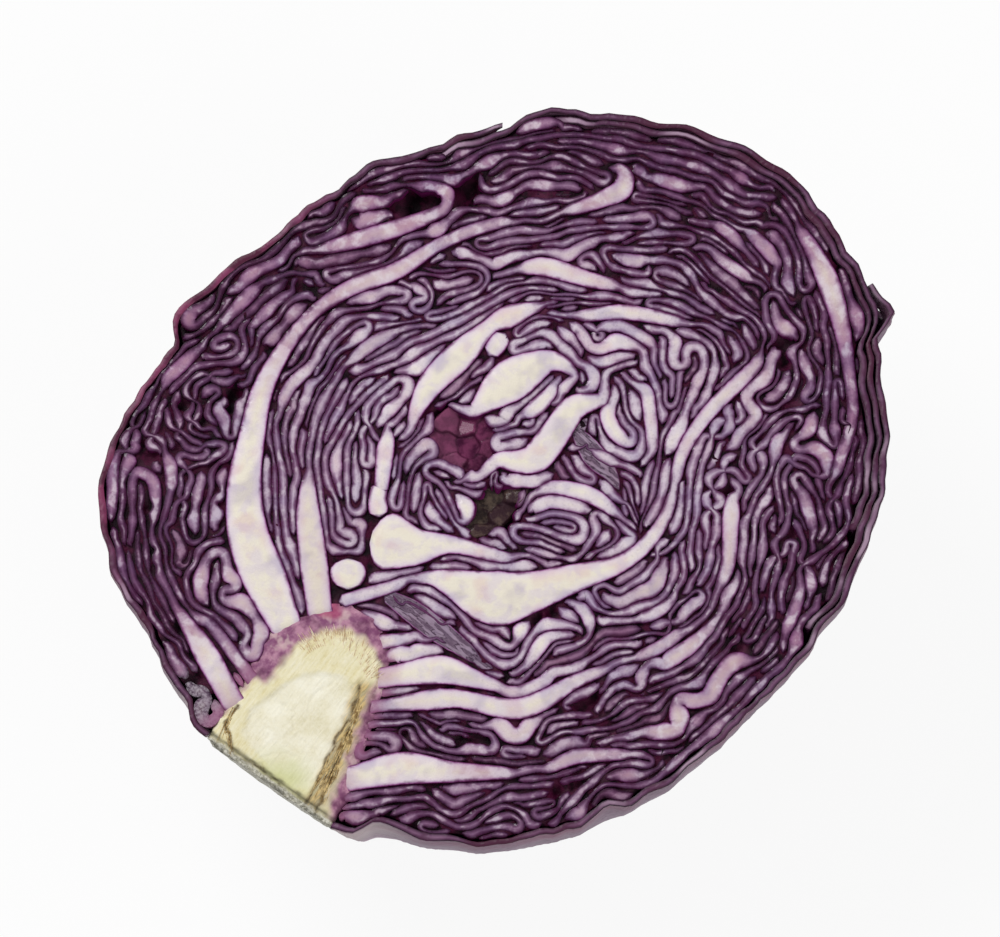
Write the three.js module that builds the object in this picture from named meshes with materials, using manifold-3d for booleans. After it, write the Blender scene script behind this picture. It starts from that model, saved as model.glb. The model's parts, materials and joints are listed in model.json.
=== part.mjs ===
// Half of a red cabbage head, cut lengthwise through its core and resting on its round back.
// Millimetres, +Z up. The cut face is the flat top, and the stem end is at the lower left of it.
import * as THREE from 'three';
import { mergeVertices } from 'three/addons/utils/BufferGeometryUtils.js';
import Module from 'manifold-3d';

// ---------------------------------------------------------------- driving dimensions
const CUT_HEIGHT = 69; // cut face above the surface that the half rests on
const HEART = new THREE.Vector2(0, -5); // middle of the nested leaf bowls, on the cut face
const POLE_BULGE = 1.5; // how far the round back would pass the surface, were it not pressed flat
const LEAF_GAP = 0.35; // clear space between two leaves
const WRAPPER_THICKNESS = 1.05;
const WRAPPER_GAP = 0.45; // between wrapper leaves, whose facets don't run alike
const WRAPPER_PITCH = WRAPPER_THICKNESS + WRAPPER_GAP;
const TUCK = 2.2; // inner leaves sit this much further in below the cut face
const TUCK_ANGLE = THREE.MathUtils.degToRad(18); // depth angle at which the tuck is complete
const STEM_ANGLE = THREE.MathUtils.degToRad(232); // direction of the cut stem on the cut face
const BOWL_LEVELS = [0, 14, 30, 46, 62].map(THREE.MathUtils.degToRad); // depth angles of a leaf
const HEART_LEVELS = [0, 20, 40].map(THREE.MathUtils.degToRad);
const MAX_STEP = 9; // longest straight stretch along a leaf
const MAX_TURN = THREE.MathUtils.degToRad(24); // sharpest bend at one station
const FINE_SAMPLES = 400;

// ---------------------------------------------------------------- outline of the cut head
const HEAD_OUTLINE = [
  [-54.5, -51.5], [-59.5, -44], [-63.5, -36], [-69.5, -26], [-73.4, -17], [-75.4, -8], [-74.6, 0],
  [-72.8, 7], [-68, 15], [-63, 23], [-59.8, 31], [-54, 37.6], [-46, 43.6], [-36, 52], [-26, 59.3],
  [-17, 62.4], [-8, 66], [1, 68.6], [11, 71.6], [23, 70.8], [36, 68.2], [46, 64.8], [56, 58.4],
  [64, 49.6], [70, 40], [73.3, 30], [74.6, 15], [74.6, 3], [72.6, -8], [69.6, -18], [64.5, -27.5],
  [57.5, -37], [48, -47], [38, -56.3], [27, -63.6], [14, -69.2], [0, -72], [-14, -70.8],
  [-23, -69], [-30.5, -68.7],
];

// ---------------------------------------------------------------- leaves seen on the cut face
// Each leaf is a route of stations [x, y, thickness]: thick through its rib, thin at its blade.
const LEAVES = [
  // left side, from the stem towards the top
  { name: 'left_leaf_1', route: [
    [-50.6, -42.6, 4.4], [-52.6, -39, 5.2], [-54.5, -35.5, 4.8], [-56.8, -31.6, 3.5], [-59.4, -27.5, 2.3],
    [-62, -23, 1.8], [-64, -18, 1.9], [-64.3, -12, 1.9], [-64.2, -6, 2], [-64.8, -2, 2.6],
    [-66.8, 0, 2.3], [-68.7, -1.8, 1.7], [-69, -5, 1.5], [-68.7, -9, 1.5], [-69.4, -13.5, 1.5]] },
  { name: 'left_leaf_2', route: [
    [-47.6, -37.8, 2.6], [-50.7, -33.5, 2.6], [-54, -29.2, 2.3], [-57.2, -25.4, 1.9], [-60, -21.2, 1.8],
    [-61.6, -17, 2.1], [-61.6, -11, 2], [-61.4, -5, 2.1], [-61.2, -1, 2.8], [-62.3, 3, 2.3],
    [-64.6, 6, 1.6], [-65.7, 9.5, 1.6], [-65.1, 13, 1.7], [-63.6, 17, 2.1], [-61, 20, 2.7],
    [-58, 22.4, 2.8], [-55, 25.8, 1.9], [-52.3, 29, 1.5], [-49.8, 31.6, 2], [-47.4, 34.4, 2.9],
    [-44.4, 37.2, 2], [-40, 39, 1.5], [-35, 39.9, 1.8], [-31.4, 40.1, 2.2], [-28.8, 39.7, 1.7]] },
  { name: 'left_leaf_3', route: [
    [-71.1, -11, 1.4], [-71.7, -6, 1.6], [-71.5, -1, 1.9], [-70.2, 3, 2.4], [-69, 7, 1.6],
    [-68, 10.4, 1.4], [-67.2, 12.4, 1.2]] },
  { name: 'left_leaf_4', route: [
    [-50, 19.4, 1.5], [-53.6, 18.2, 1.9], [-56.4, 15, 1.5], [-57.7, 11.8, 1.5], [-56.6, 9.5, 1.5],
    [-54.4, 8.2, 1.5], [-52.8, 9.4, 1.3]] },
  { name: 'left_leaf_5', route: [
    [-61.2, 13, 1.9], [-60, 9.8, 1.8], [-57.8, 6.8, 1.6], [-54.6, 6, 1.5], [-52.4, 5.6, 1.4],
    [-51.6, 4.5, 1.4], [-52.6, 3.3, 1.4], [-54.8, 3, 1.4], [-57.8, 2.4, 1.5],
    [-58.9, -1, 1.4], [-58.4, -6, 1.4], [-58.6, -10.5, 1.4], [-57, -13.6, 1.4], [-55.2, -12.4, 1.7],
    [-55.6, -8, 1.5], [-54.6, -4, 1.6], [-53.4, -0.4, 1.8]] },
  { name: 'left_leaf_6', route: [
    [-50.8, -15.8, 1.3], [-54.2, -16, 1.3], [-57.2, -17.2, 1.3], [-58, -19.7, 1.4],
    [-56.6, -22.2, 2], [-54, -25.4, 1.7], [-51, -28.9, 1.5], [-48.2, -32.3, 1.6]] },

  // the long rib leaf that rises from the core and runs over the top
  { name: 'great_rib_leaf', route: [
    [-40.3, -28.2, 6.4], [-41.4, -25, 8.1], [-43.4, -21, 8.4], [-45.2, -17.2, 8.4], [-46.6, -13, 7.9],
    [-47.5, -8.5, 7.5], [-47.7, -4, 6.9], [-47.3, 1, 5.8], [-46.4, 6, 5.2], [-45.5, 11, 4.7],
    [-44, 17, 4.1], [-41.4, 22.4, 3.5], [-38.5, 26.5, 2.8], [-35.6, 30.3, 2.6], [-31.8, 34, 2.8],
    [-26.8, 36.6, 3.4], [-21.5, 38.3, 3.8], [-16, 41.2, 3], [-10, 45.2, 2.6], [-5, 47.4, 2.8],
    [1, 49.2, 2.2], [8, 50.6, 2.1], [15, 51.8, 2.4], [20, 53.2, 3.3], [23.9, 55.4, 4.1],
    [25, 57.9, 3.5], [24, 59.9, 2.2]] },
  { name: 'second_rib_leaf', route: [
    [-33.4, -25.4, 4.9], [-34, -20, 5.5], [-34.7, -15, 5.3], [-35.3, -10, 5], [-35.6, -5, 3.8],
    [-35.4, 0, 2], [-35, 5, 1.5], [-34.4, 10, 1.5], [-32.2, 15, 1.5], [-29.4, 19.6, 1.6],
    [-26.2, 23.3, 2.3], [-22.3, 26, 2.9], [-18, 28.3, 1.9], [-13, 29.6, 1.5]] },
  { name: 'second_row_leaf_1', route: [
    [-38.8, -14.6, 1.4], [-39.9, -10, 2], [-40, -6, 2.2], [-39.6, -2, 1.6], [-40.4, 2, 3.1],
    [-41.2, 6.4, 2.4], [-41, 11, 1.6], [-39.9, 15.4, 2.4], [-37.3, 18.9, 2.8], [-34.2, 21.6, 1.7],
    [-32.6, 25, 1.9], [-29.2, 29, 1.5], [-24.6, 31, 2], [-19, 31.8, 1.5]] },
  { name: 'second_row_leaf_2', route: [
    [-30, -10.6, 1.5], [-29.6, -6.6, 2.2], [-31, -2.4, 1.5], [-31.6, 2.4, 2.8], [-30.6, 7, 1.6],
    [-28, 10, 1.6], [-26, 13.8, 1.9], [-23.4, 17, 1.5], [-19.9, 18.4, 1.5]] },
  { name: 'axil_bud', route: [[-27.8, -22.6, 4.6], [-28, -19.6, 6.9], [-27.9, -16.6, 5.6]] },

  // heart leaves
  { name: 'heart_rib_leaf_1', levels: HEART_LEVELS, route: [
    [-23.5, -12.4, 14.4], [-21, -12.8, 12], [-18, -13.7, 10.2], [-15, -14.3, 7.5], [-11.5, -13.9, 5],
    [-7.5, -13.9, 3.5], [-3, -15.6, 2.9], [2, -16.2, 2.4], [6.6, -17, 1.7]] },
  { name: 'heart_rib_leaf_2', levels: HEART_LEVELS, route: [
    [-21.7, -4, 2.6], [-21.5, -0.5, 3.4], [-21.2, 3, 4.3], [-20.6, 6, 3]] },
  { name: 'heart_rib_leaf_3', route: [
    [-22.4, -22.9, 2.6], [-18, -21.5, 1.9], [-13.4, -20.4, 2.4], [-9.4, -21, 4.6], [-5.4, -22.6, 8.4],
    [0, -24.3, 10.7], [5.4, -23.5, 8.5], [11, -21.6, 6.9], [16.5, -20, 5.1], [21.5, -18.6, 3.9],
    [25.6, -16.6, 3.1], [29.2, -13.2, 2.9], [32, -9.4, 2.6], [33.7, -5, 2.2], [34.5, 0, 2.3],
    [36, 5, 2.6], [39, 9.6, 2.9], [42.6, 14.4, 2.9], [46.4, 17.8, 3], [49.6, 21, 2.6],
    [50.8, 25, 2], [49.4, 28.6, 2], [46.6, 31.2, 2.6], [44.2, 33.4, 2]] },
  { name: 'heart_rib_leaf_4', levels: HEART_LEVELS, route: [
    [-16.6, 8.4, 1.2], [-15.4, 11.4, 3.3], [-14, 14.6, 4], [-11.8, 18, 5.2], [-9, 21, 6],
    [-5.8, 23.9, 5.4], [-2.8, 27.3, 2.6], [1.3, 30.2, 4.2], [4.4, 31, 5.2], [6.8, 32.2, 2.6]] },
  { name: 'heart_bud', levels: HEART_LEVELS, route: [[-0.3, 23.6, 2.2], [0.6, 25, 3.3], [1.8, 26.4, 2]] },
  { name: 'heart_rib_leaf_5', levels: HEART_LEVELS, route: [
    [-4.2, 12, 2.4], [-1.4, 14.6, 6.6], [2, 17.4, 8.4], [5.8, 20, 7.4], [9.8, 21.8, 4.8],
    [13.2, 21.2, 2.9], [14.9, 19.2, 2.1], [13.4, 16.9, 2.3], [10.8, 14.8, 2.9], [8.4, 12.6, 2.3],
    [6, 10.7, 1.5], [2.6, 9.3, 1.4]] },
  { name: 'heart_rib_leaf_6', levels: HEART_LEVELS, route: [
    [-7.2, -1.4, 1], [-4, -1.2, 1.9], [-1.6, 1, 2.2], [1, 2.7, 3.2], [4.6, 2.2, 4.6],
    [8, 3.2, 6], [10.6, 6.4, 5.8], [12.7, 10.2, 5.6], [15.4, 13, 4.9], [18.6, 13.9, 3.4],
    [21.2, 15, 1.9], [20.8, 18, 1.6], [22.6, 20.6, 1.6], [26.6, 20.8, 1.4]] },
  { name: 'heart_leaf_1', levels: HEART_LEVELS, route: [
    [6.6, -5.4, 1.4], [9.4, -3.2, 2.2], [13, -2.8, 3], [17, -3.8, 3.3], [20.6, -5.6, 3.1],
    [24.2, -8.7, 1.8]] },
  { name: 'heart_leaf_2', levels: HEART_LEVELS, route: [
    [5.8, -7.6, 1.4], [10.6, -7.4, 1.5], [15, -8, 2], [17.6, -11, 2], [15.6, -13.6, 1.4],
    [13.4, -12.6, 1.3], [11.4, -11, 1.3],
    [7.4, -10.4, 1.5], [3.6, -10.4, 1.8], [2.2, -11.9, 1.8], [4, -13.5, 1.5], [8.4, -14, 1.5]] },
  { name: 'heart_leaf_3', levels: HEART_LEVELS, route: [
    [14.6, 6.6, 2.2], [17.6, 4.6, 2.8], [21, 2.8, 2.6], [24.6, 1.6, 1.8]] },
  { name: 'heart_leaf_4', levels: HEART_LEVELS, route: [
    [24.8, 17.4, 1.6], [28.6, 16.2, 2.6], [29.4, 11, 2.8], [29.9, 5, 2.2], [28.4, 1.4, 1.4]] },

  // upper leaves
  { name: 'upper_leaf_1', route: [
    [3.6, 39.8, 1.8], [6.8, 40.5, 3.2], [11, 40.2, 4.1], [15.4, 38.9, 3.8], [19.4, 37.4, 2.8],
    [24, 36.3, 2], [29.6, 35.8, 1.6]] },
  { name: 'upper_leaf_2', route: [
    [10.4, 31, 1.2], [14, 30.5, 1.6], [17.4, 31, 2.6], [21.6, 31.7, 3], [27, 31.2, 3],
    [32, 30, 2.8], [36, 29.7, 1.8], [39.4, 28.4, 1.3]] },
  { name: 'upper_leaf_3', route: [
    [18.8, 27.4, 1.6], [22, 28.6, 1.9], [26, 27.9, 2.4], [29.6, 25.6, 2.4], [30.8, 22.6, 1.5]] },
  { name: 'upper_leaf_4', route: [
    [-36, 43, 1.5], [-31, 44.1, 2.2], [-26.4, 45.8, 3.6], [-21.8, 47.2, 4], [-17, 48.5, 3.2],
    [-12.4, 50.1, 2.6], [-9.2, 52.6, 2.4], [-9.4, 55.6, 2.2], [-12.8, 57, 1.9], [-17, 56.4, 1.7],
    [-21, 55, 1.6], [-24.6, 54.2, 1.4]] },
  { name: 'upper_leaf_5', route: [
    [-23.2, 56.9, 1.4], [-19.4, 58.6, 1.5], [-14.6, 59.3, 1.4], [-9, 59.2, 1.3], [-4.6, 61.2, 1.8],
    [0, 62.8, 1.8], [5, 64.4, 1.5], [10, 66, 1.5], [16, 66.2, 1.5], [23, 65.5, 1.8],
    [31, 63.8, 1.5], [38, 62, 1.5], [42, 60.5, 1.9], [46, 58.6, 2.5], [49.6, 56.1, 1.9],
    [52.4, 53.8, 1.3]] },
  { name: 'upper_leaf_6', route: [
    [11.4, 63.4, 2.2], [16, 63.3, 1.4], [21.4, 62.9, 1.5], [27.6, 61.3, 1.8], [32.6, 59.6, 2.9],
    [37.6, 57.9, 1.8], [42, 56, 1.8], [46.6, 53.6, 2.2], [50.4, 50.6, 1.4]] },
  { name: 'upper_leaf_7', route: [
    [29, 56.8, 1.2], [34, 55.4, 1.5], [39.6, 53.8, 1.4], [44.4, 50.8, 1.7], [48.6, 47.4, 2],
    [52, 43.6, 3], [54.6, 39.6, 1.8]] },
  { name: 'upper_leaf_8', route: [
    [37.8, 50.8, 1.5], [40.6, 49.4, 3], [43.8, 47.8, 2.9], [46.6, 44.8, 1.5], [48.8, 41.6, 1.4]] },
  { name: 'upper_leaf_9', route: [
    [38.6, 45.2, 1.3], [41.8, 43, 2.3], [45.2, 40.4, 2.7], [48.6, 38, 1.9], [52, 36, 1.3]] },
  { name: 'upper_leaf_10', route: [
    [33, 44.6, 1.2], [27, 43.9, 1.5], [22.6, 44.6, 1.5], [20, 43.6, 1.6], [21.4, 41.2, 2.2],
    [25, 39.4, 2.2], [29, 38.5, 1.4]] },

  // right side
  { name: 'outer_rib_leaf', route: [
    [54.4, 52.9, 1.3], [56.6, 50.4, 1.6], [59.2, 46.2, 2.6], [62, 41, 3.9], [64.2, 35.6, 4.3],
    [65.8, 29.6, 3.5], [66.9, 23.6, 2.7], [67.7, 17, 2.3], [68, 11, 2.3], [66.9, 6, 2.9],
    [65.2, 1.4, 2.3], [64, -4, 2], [63.4, -9, 1.4]] },
  { name: 'right_leaf_1', route: [
    [52.9, 27.4, 1.2], [52.9, 30.4, 1.8], [52.9, 33.4, 1.4], [53.4, 35.3, 1.2], [54.4, 36, 1.2],
    [55.4, 35.2, 1.3], [55.8, 33, 1.4],
    [56, 30.4, 1.6], [57.8, 27, 1.6], [57.2, 23, 2], [56.6, 19.4, 1.4], [57.4, 15.8, 1.3],
    [55.4, 13, 1.4], [53.8, 15, 1.4]] },
  { name: 'right_leaf_2', route: [
    [58.2, 11.6, 1.4], [54, 10.6, 1.8], [49.8, 9.2, 2.2], [49.2, 5, 1.8], [50.4, 0.6, 1.6]] },
  { name: 'right_leaf_3', route: [
    [56.6, 8.2, 1.4], [53.8, 6.4, 2.8], [52.9, 2, 2], [51.8, -2.2, 2], [49, -5.8, 2.2],
    [47.8, -11, 2.1], [47.4, -16.6, 2], [46.4, -22, 2], [43.8, -28, 1.8], [39.8, -34, 1.7],
    [35, -38.4, 1.8], [29.8, -40.4, 1.5]] },
  { name: 'right_leaf_4', route: [
    [52.8, -28, 1.4], [52.1, -24, 1.4], [52.8, -18.4, 1.5], [54.5, -13.4, 1.9], [55.4, -9, 1.4],
    [54.6, -4.6, 1.4], [54.9, 0.2, 1.6], [55.6, 2.4, 1.9], [57, 3.5, 2],
    [58.5, 2.4, 1.8], [59.6, 0.6, 1.6], [61.8, -0.6, 1.4]] },
  { name: 'right_leaf_5', route: [
    [52.6, -5.6, 1.4], [51.2, -9, 2.4], [50.4, -15, 1.8], [49.6, -21, 1.8], [49, -26, 1.6],
    [47.9, -30, 1.4]] },
  { name: 'right_leaf_6', route: [
    [47.4, 13.6, 1.5], [47, 10.6, 2], [45.2, 9, 2], [42.8, 8.4, 2], [40.8, 6, 1.4],
    [38.8, 0, 2], [38.4, -6, 2.2], [37.4, -12, 1.6], [36.2, -18.2, 1.5]] },
  { name: 'right_leaf_7', route: [
    [45.6, 5.4, 1.3], [43.4, 1.4, 2.2], [41.8, -3.4, 1.8], [41.6, -9, 1.9], [40.4, -15.4, 2],
    [39.8, -19.4, 2], [37.4, -23, 1.5]] },
  { name: 'right_leaf_8', route: [
    [67.4, -1.6, 1.3], [66.6, -7, 2.1], [65.4, -12.2, 1.4], [60.2, -16, 1.5], [58.4, -21.6, 2.2],
    [56.3, -28, 2.6], [53.2, -33.2, 1.5]] },

  // bottom, from the stem towards the right
  { name: 'bottom_rib_leaf_1', route: [
    [-19.2, -39.4, 4], [-13.8, -38.5, 5.4], [-9.5, -38.2, 5.6], [-5.5, -39.4, 4.2], [-1, -41, 2.5],
    [3.5, -41.9, 1.6], [8, -40.4, 1.6], [11.4, -38.4, 2.4], [15.6, -37.6, 1.5], [20, -35, 1.7],
    [23.4, -32.6, 1.9], [25, -34.6, 1.3]] },
  { name: 'bottom_rib_leaf_2', route: [
    [-20.4, -45, 2.4], [-16.8, -44.5, 3.4], [-12.6, -44.1, 4.2], [-8, -43.6, 3.5], [-3, -44.9, 3.9],
    [2, -45.7, 4], [6.8, -45.1, 4.1], [10.4, -43.3, 3.9], [14.2, -41, 3], [18, -39, 2.4],
    [23, -37.3, 2.1], [28, -35.6, 2.3], [33, -32.6, 2.6], [37.2, -29, 2], [40.6, -24.6, 1.5],
    [43.9, -19, 2.6], [44.5, -12, 3.2], [44.9, -7.4, 3.4]] },
  { name: 'bottom_rib_leaf_3', route: [
    [-26.4, -59, 4.8], [-23.6, -58.4, 6.2], [-19.6, -57.6, 6.3], [-15.6, -57, 6.3], [-11.6, -57.4, 5.2],
    [-7.6, -58, 4], [-2.6, -58, 3.3], [2.4, -58.1, 2.4], [7, -58.4, 1.9], [11, -57, 2.1],
    [14.6, -55.1, 3.1], [18.6, -54.7, 2.8], [22.6, -54.6, 2.2], [26.8, -54.5, 2.2], [29.2, -54.8, 2.1],
    [30.4, -56.1, 1.8], [29.2, -57.3, 1.6], [26.6, -57.6, 1.6], [22.4, -57.8, 1.4],
    [18.4, -59.4, 1.6], [15.4, -61.6, 1.6], [13, -64.4, 1.5],
    [11.4, -66.8, 1.8]] },
  { name: 'bottom_leaf_1', route: [
    [-20, -32.6, 2.8], [-16.4, -31.9, 2.2], [-12.5, -32.3, 1.7], [-9, -33, 1.2]] },
  { name: 'bottom_leaf_2', route: [
    [-3.8, -33.4, 1.4], [-1.2, -35.8, 1.8], [2.4, -37.8, 2.2], [4.9, -36, 1.5], [5, -33, 1.3],
    [6.8, -30.9, 1.6], [10.6, -29.6, 1.5], [14, -30.6, 1.3]] },
  { name: 'bottom_leaf_3', route: [
    [14.8, -25.3, 1.5], [17, -26.7, 2.7], [18, -30, 2.3], [15.6, -33, 1.6], [12, -34.6, 1.4]] },
  { name: 'bottom_leaf_4', route: [
    [18.4, -23.2, 1.3], [22.4, -22.6, 1.5], [26.8, -21.6, 2.1], [30.2, -18.6, 1.4], [31, -15.6, 1.2]] },
  { name: 'bottom_leaf_5', route: [
    [21.4, -28.4, 1.4], [25.2, -28.6, 1.7], [29.6, -27.6, 2.6], [33, -25.2, 2.2], [34.2, -21.6, 2.2],
    [34, -17.6, 1.4]] },
  { name: 'bottom_leaf_6', route: [
    [-22, -49.4, 1.3], [-19.4, -48.2, 1.4], [-17.6, -50.2, 1.4], [-15.4, -48.6, 1.4], [-13, -50.2, 1.4],
    [-11, -52, 1.3], [-7, -53.2, 1.3], [-2, -53.6, 1.3], [1.4, -52, 1.5], [-0.6, -50, 1.4],
    [-5.4, -49.3, 1.3], [-9, -48.6, 1.2]] },
  { name: 'bottom_leaf_7', route: [
    [16, -46.6, 1.3], [12.6, -46.6, 1.5], [9, -48.4, 1.6], [6.8, -51, 1.4], [8.8, -53.2, 1.4],
    [12, -51.2, 1.3], [18, -50.2, 1.4], [24, -49.6, 1.4], [27, -46.4, 1.5], [32, -44.6, 1.5],
    [38, -40.8, 1.5], [42.6, -37, 1.5], [45.4, -33.4, 1.4]] },
  { name: 'bottom_leaf_8', route: [
    [-24.6, -63.8, 1.5], [-21, -64, 1.8], [-17.6, -63.3, 1.8], [-14.4, -62.2, 1.8], [-11.2, -62.3, 1.8],
    [-8.4, -63.9, 1.8], [-6.2, -64.6, 1.6], [-3.8, -62.8, 1.8], [0, -61.4, 1.9], [4.6, -61.4, 1.7]] },
  { name: 'bottom_leaf_9', route: [
    [-15.6, -66.6, 1.3], [-12.4, -65, 1.4], [-9.4, -66.4, 1.4], [-6.4, -68.3, 1.3], [-3.8, -66.6, 1.3],
    [-1, -64.8, 1.5], [3, -65, 1.5], [6.4, -67, 1.4]] },
  { name: 'bottom_leaf_10', route: [
    [16.6, -65.4, 1.3], [18.6, -62.4, 1.5], [22, -60.6, 1.4], [24.6, -61.2, 1.6], [28.6, -60.2, 1.5],
    [34, -56.2, 1.5], [39.2, -51, 1.5], [44.6, -46.2, 1.5], [50.5, -40.2, 1.5], [56.4, -33.4, 1.4],
    [60.8, -26.6, 1.4]] },
  { name: 'bottom_leaf_11', route: [
    [24, -52, 1.3], [30, -51.8, 1.4], [34.8, -51.8, 1.4], [37.8, -48.4, 2.4], [43, -44, 1.4],
    [48, -38.6, 1.4]] },
];

// ---------------------------------------------------------------- core, by its two edges
// Stations [left x, left y, right x, right y] from the cut butt to the rounded top of the core.
const CORE_STATIONS = [
  [-54.4, -51.4, -30.6, -68.5], [-51.6, -47.8, -28.7, -62.4], [-49.2, -44.8, -27.2, -56.6],
  [-46.4, -41.2, -25.3, -50.6], [-44.6, -36.6, -23, -43.8], [-42.8, -32.6, -21.4, -37.6],
  [-39.6, -29.8, -21.4, -32.6], [-36.2, -28.2, -23.6, -28.6], [-32.4, -27, -28, -26.4],
];
const CORE_ROUNDNESS = 0.92; // depth of the core against half its width

// ---------------------------------------------------------------- wrapper leaves, outermost first
// alpha runs from the leaf's own axis on the cut face, beta round it from one side of the cut.
const APEX_AXIS = STEM_ANGLE + Math.PI / 2;
const WRAPPERS = [
  { name: 'wrapper_leaf_1', axis: STEM_ANGLE, alpha: [12, 156], beta: [0, 102] },
  { name: 'wrapper_leaf_2', axis: STEM_ANGLE, alpha: [12, 144], beta: [84, 180] },
  { name: 'wrapper_leaf_3', axis: APEX_AXIS, alpha: [15, 135], beta: [0, 66] },
  { name: 'wrapper_leaf_4', axis: APEX_AXIS, alpha: [33, 117], beta: [0, 48] },
];
const WRAPPER_STEP = 6; // degrees between stations, both ways
const MARGIN_CLEAR = 7; // degrees past a margin that the leaf below stays down
const MARGIN_RISE = 14; // degrees over which it then rises

// ---------------------------------------------------------------- head shape
/** Radius of the cut outline from the heart, for every direction on the cut face. */
function outlineTable() {
  const points = HEAD_OUTLINE.map(([x, y]) => new THREE.Vector3(x, y, 0));
  const curve = new THREE.CatmullRomCurve3(points, true, 'centripetal');
  const polar = curve.getPoints(HEAD_OUTLINE.length * 16).map((point) => {
    const x = point.x - HEART.x;
    const y = point.y - HEART.y;
    return [Math.atan2(y, x), Math.hypot(x, y)];
  });
  return polar.sort((a, b) => a[0] - b[0]);
}

const OUTLINE = outlineTable();

function outlineRadius(theta) {
  const turn = 2 * Math.PI;
  const angle = THREE.MathUtils.euclideanModulo(theta + Math.PI, turn) - Math.PI;
  let high = OUTLINE.findIndex((entry) => entry[0] > angle);
  if (high < 0) high = OUTLINE.length;
  const [lowAngle, lowRadius] = high > 0 ? OUTLINE[high - 1] : [OUTLINE.at(-1)[0] - turn, OUTLINE.at(-1)[1]];
  const [highAngle, highRadius] = high < OUTLINE.length ? OUTLINE[high] : [OUTLINE[0][0] + turn, OUTLINE[0][1]];
  const share = (angle - lowAngle) / Math.max(highAngle - lowAngle, 1e-9);
  return THREE.MathUtils.lerp(lowRadius, highRadius, share);
}

/** Radius of the whole head in a direction phi below the cut face. */
function headRadius(theta, phi) {
  const depth = Math.sin(phi) ** 2;
  return THREE.MathUtils.lerp(outlineRadius(theta), CUT_HEIGHT + POLE_BULGE, depth);
}

function pointAt(theta, phi, radius) {
  return new THREE.Vector3(
    HEART.x + radius * Math.cos(phi) * Math.cos(theta),
    HEART.y + radius * Math.cos(phi) * Math.sin(theta),
    CUT_HEIGHT - radius * Math.sin(phi),
  );
}

/** Carry a point of the cut face down its own nested bowl to the depth angle phi. */
function bowlPoint(x, y, phi) {
  const theta = Math.atan2(y - HEART.y, x - HEART.x);
  const share = Math.hypot(x - HEART.x, y - HEART.y) / outlineRadius(theta);
  const tuck = TUCK * THREE.MathUtils.smoothstep(phi, 0, TUCK_ANGLE);
  return pointAt(theta, phi, share * (headRadius(theta, phi) - tuck));
}

// ---------------------------------------------------------------- closed meshes
/** Closed mesh from triangles given as index triples; faces are turned to point out. */
function closedGeometry(points, triangles) {
  let volume = 0;
  const [a, b, c] = [new THREE.Vector3(), new THREE.Vector3(), new THREE.Vector3()];
  for (const [i, j, k] of triangles) {
    volume += a.copy(points[i]).dot(b.copy(points[j]).cross(c.copy(points[k])));
  }
  const ordered = volume < 0 ? triangles.map(([i, j, k]) => [i, k, j]) : triangles;
  const geometry = new THREE.BufferGeometry();
  geometry.setFromPoints(points);
  geometry.setIndex(ordered.flat());
  return geometry;
}

/** Closed sheet with two faces of rows x columns points and a rim joining them. */
function sheetGeometry(rows, columns, pointOf) {
  const points = [];
  const triangles = [];
  const at = (row, column, side) => (row * columns + column) * 2 + side;
  for (let row = 0; row < rows; row += 1) {
    for (let column = 0; column < columns; column += 1) {
      points.push(pointOf(row, column, 0), pointOf(row, column, 1));
    }
  }
  const quad = (p, q, r, s) => triangles.push([p, q, r], [p, r, s]);
  for (let row = 0; row + 1 < rows; row += 1) {
    for (let column = 0; column + 1 < columns; column += 1) {
      quad(at(row, column, 0), at(row + 1, column, 0), at(row + 1, column + 1, 0), at(row, column + 1, 0));
      quad(at(row, column, 1), at(row, column + 1, 1), at(row + 1, column + 1, 1), at(row + 1, column, 1));
    }
    const last = columns - 1;
    quad(at(row, 0, 0), at(row, 0, 1), at(row + 1, 0, 1), at(row + 1, 0, 0));
    quad(at(row, last, 0), at(row + 1, last, 0), at(row + 1, last, 1), at(row, last, 1));
  }
  for (let column = 0; column + 1 < columns; column += 1) {
    const last = rows - 1;
    quad(at(0, column, 0), at(0, column + 1, 0), at(0, column + 1, 1), at(0, column, 1));
    quad(at(last, column, 0), at(last, column, 1), at(last, column + 1, 1), at(last, column + 1, 0));
  }
  return closedGeometry(points, triangles);
}

/** Closed mesh through rings of equal length, with a fan over each end ring. */
function loftGeometry(rings) {
  const size = rings[0].length;
  const points = rings.flat();
  const triangles = [];
  for (let ring = 0; ring + 1 < rings.length; ring += 1) {
    for (let step = 0; step < size; step += 1) {
      const next = (step + 1) % size;
      const [p, q] = [ring * size + step, ring * size + next];
      triangles.push([p, q, q + size], [p, q + size, p + size]);
    }
  }
  const start = (rings.length - 1) * size;
  for (let step = 1; step + 1 < size; step += 1) {
    triangles.push([0, step + 1, step], [start, start + step, start + step + 1]);
  }
  return closedGeometry(points, triangles);
}

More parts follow.
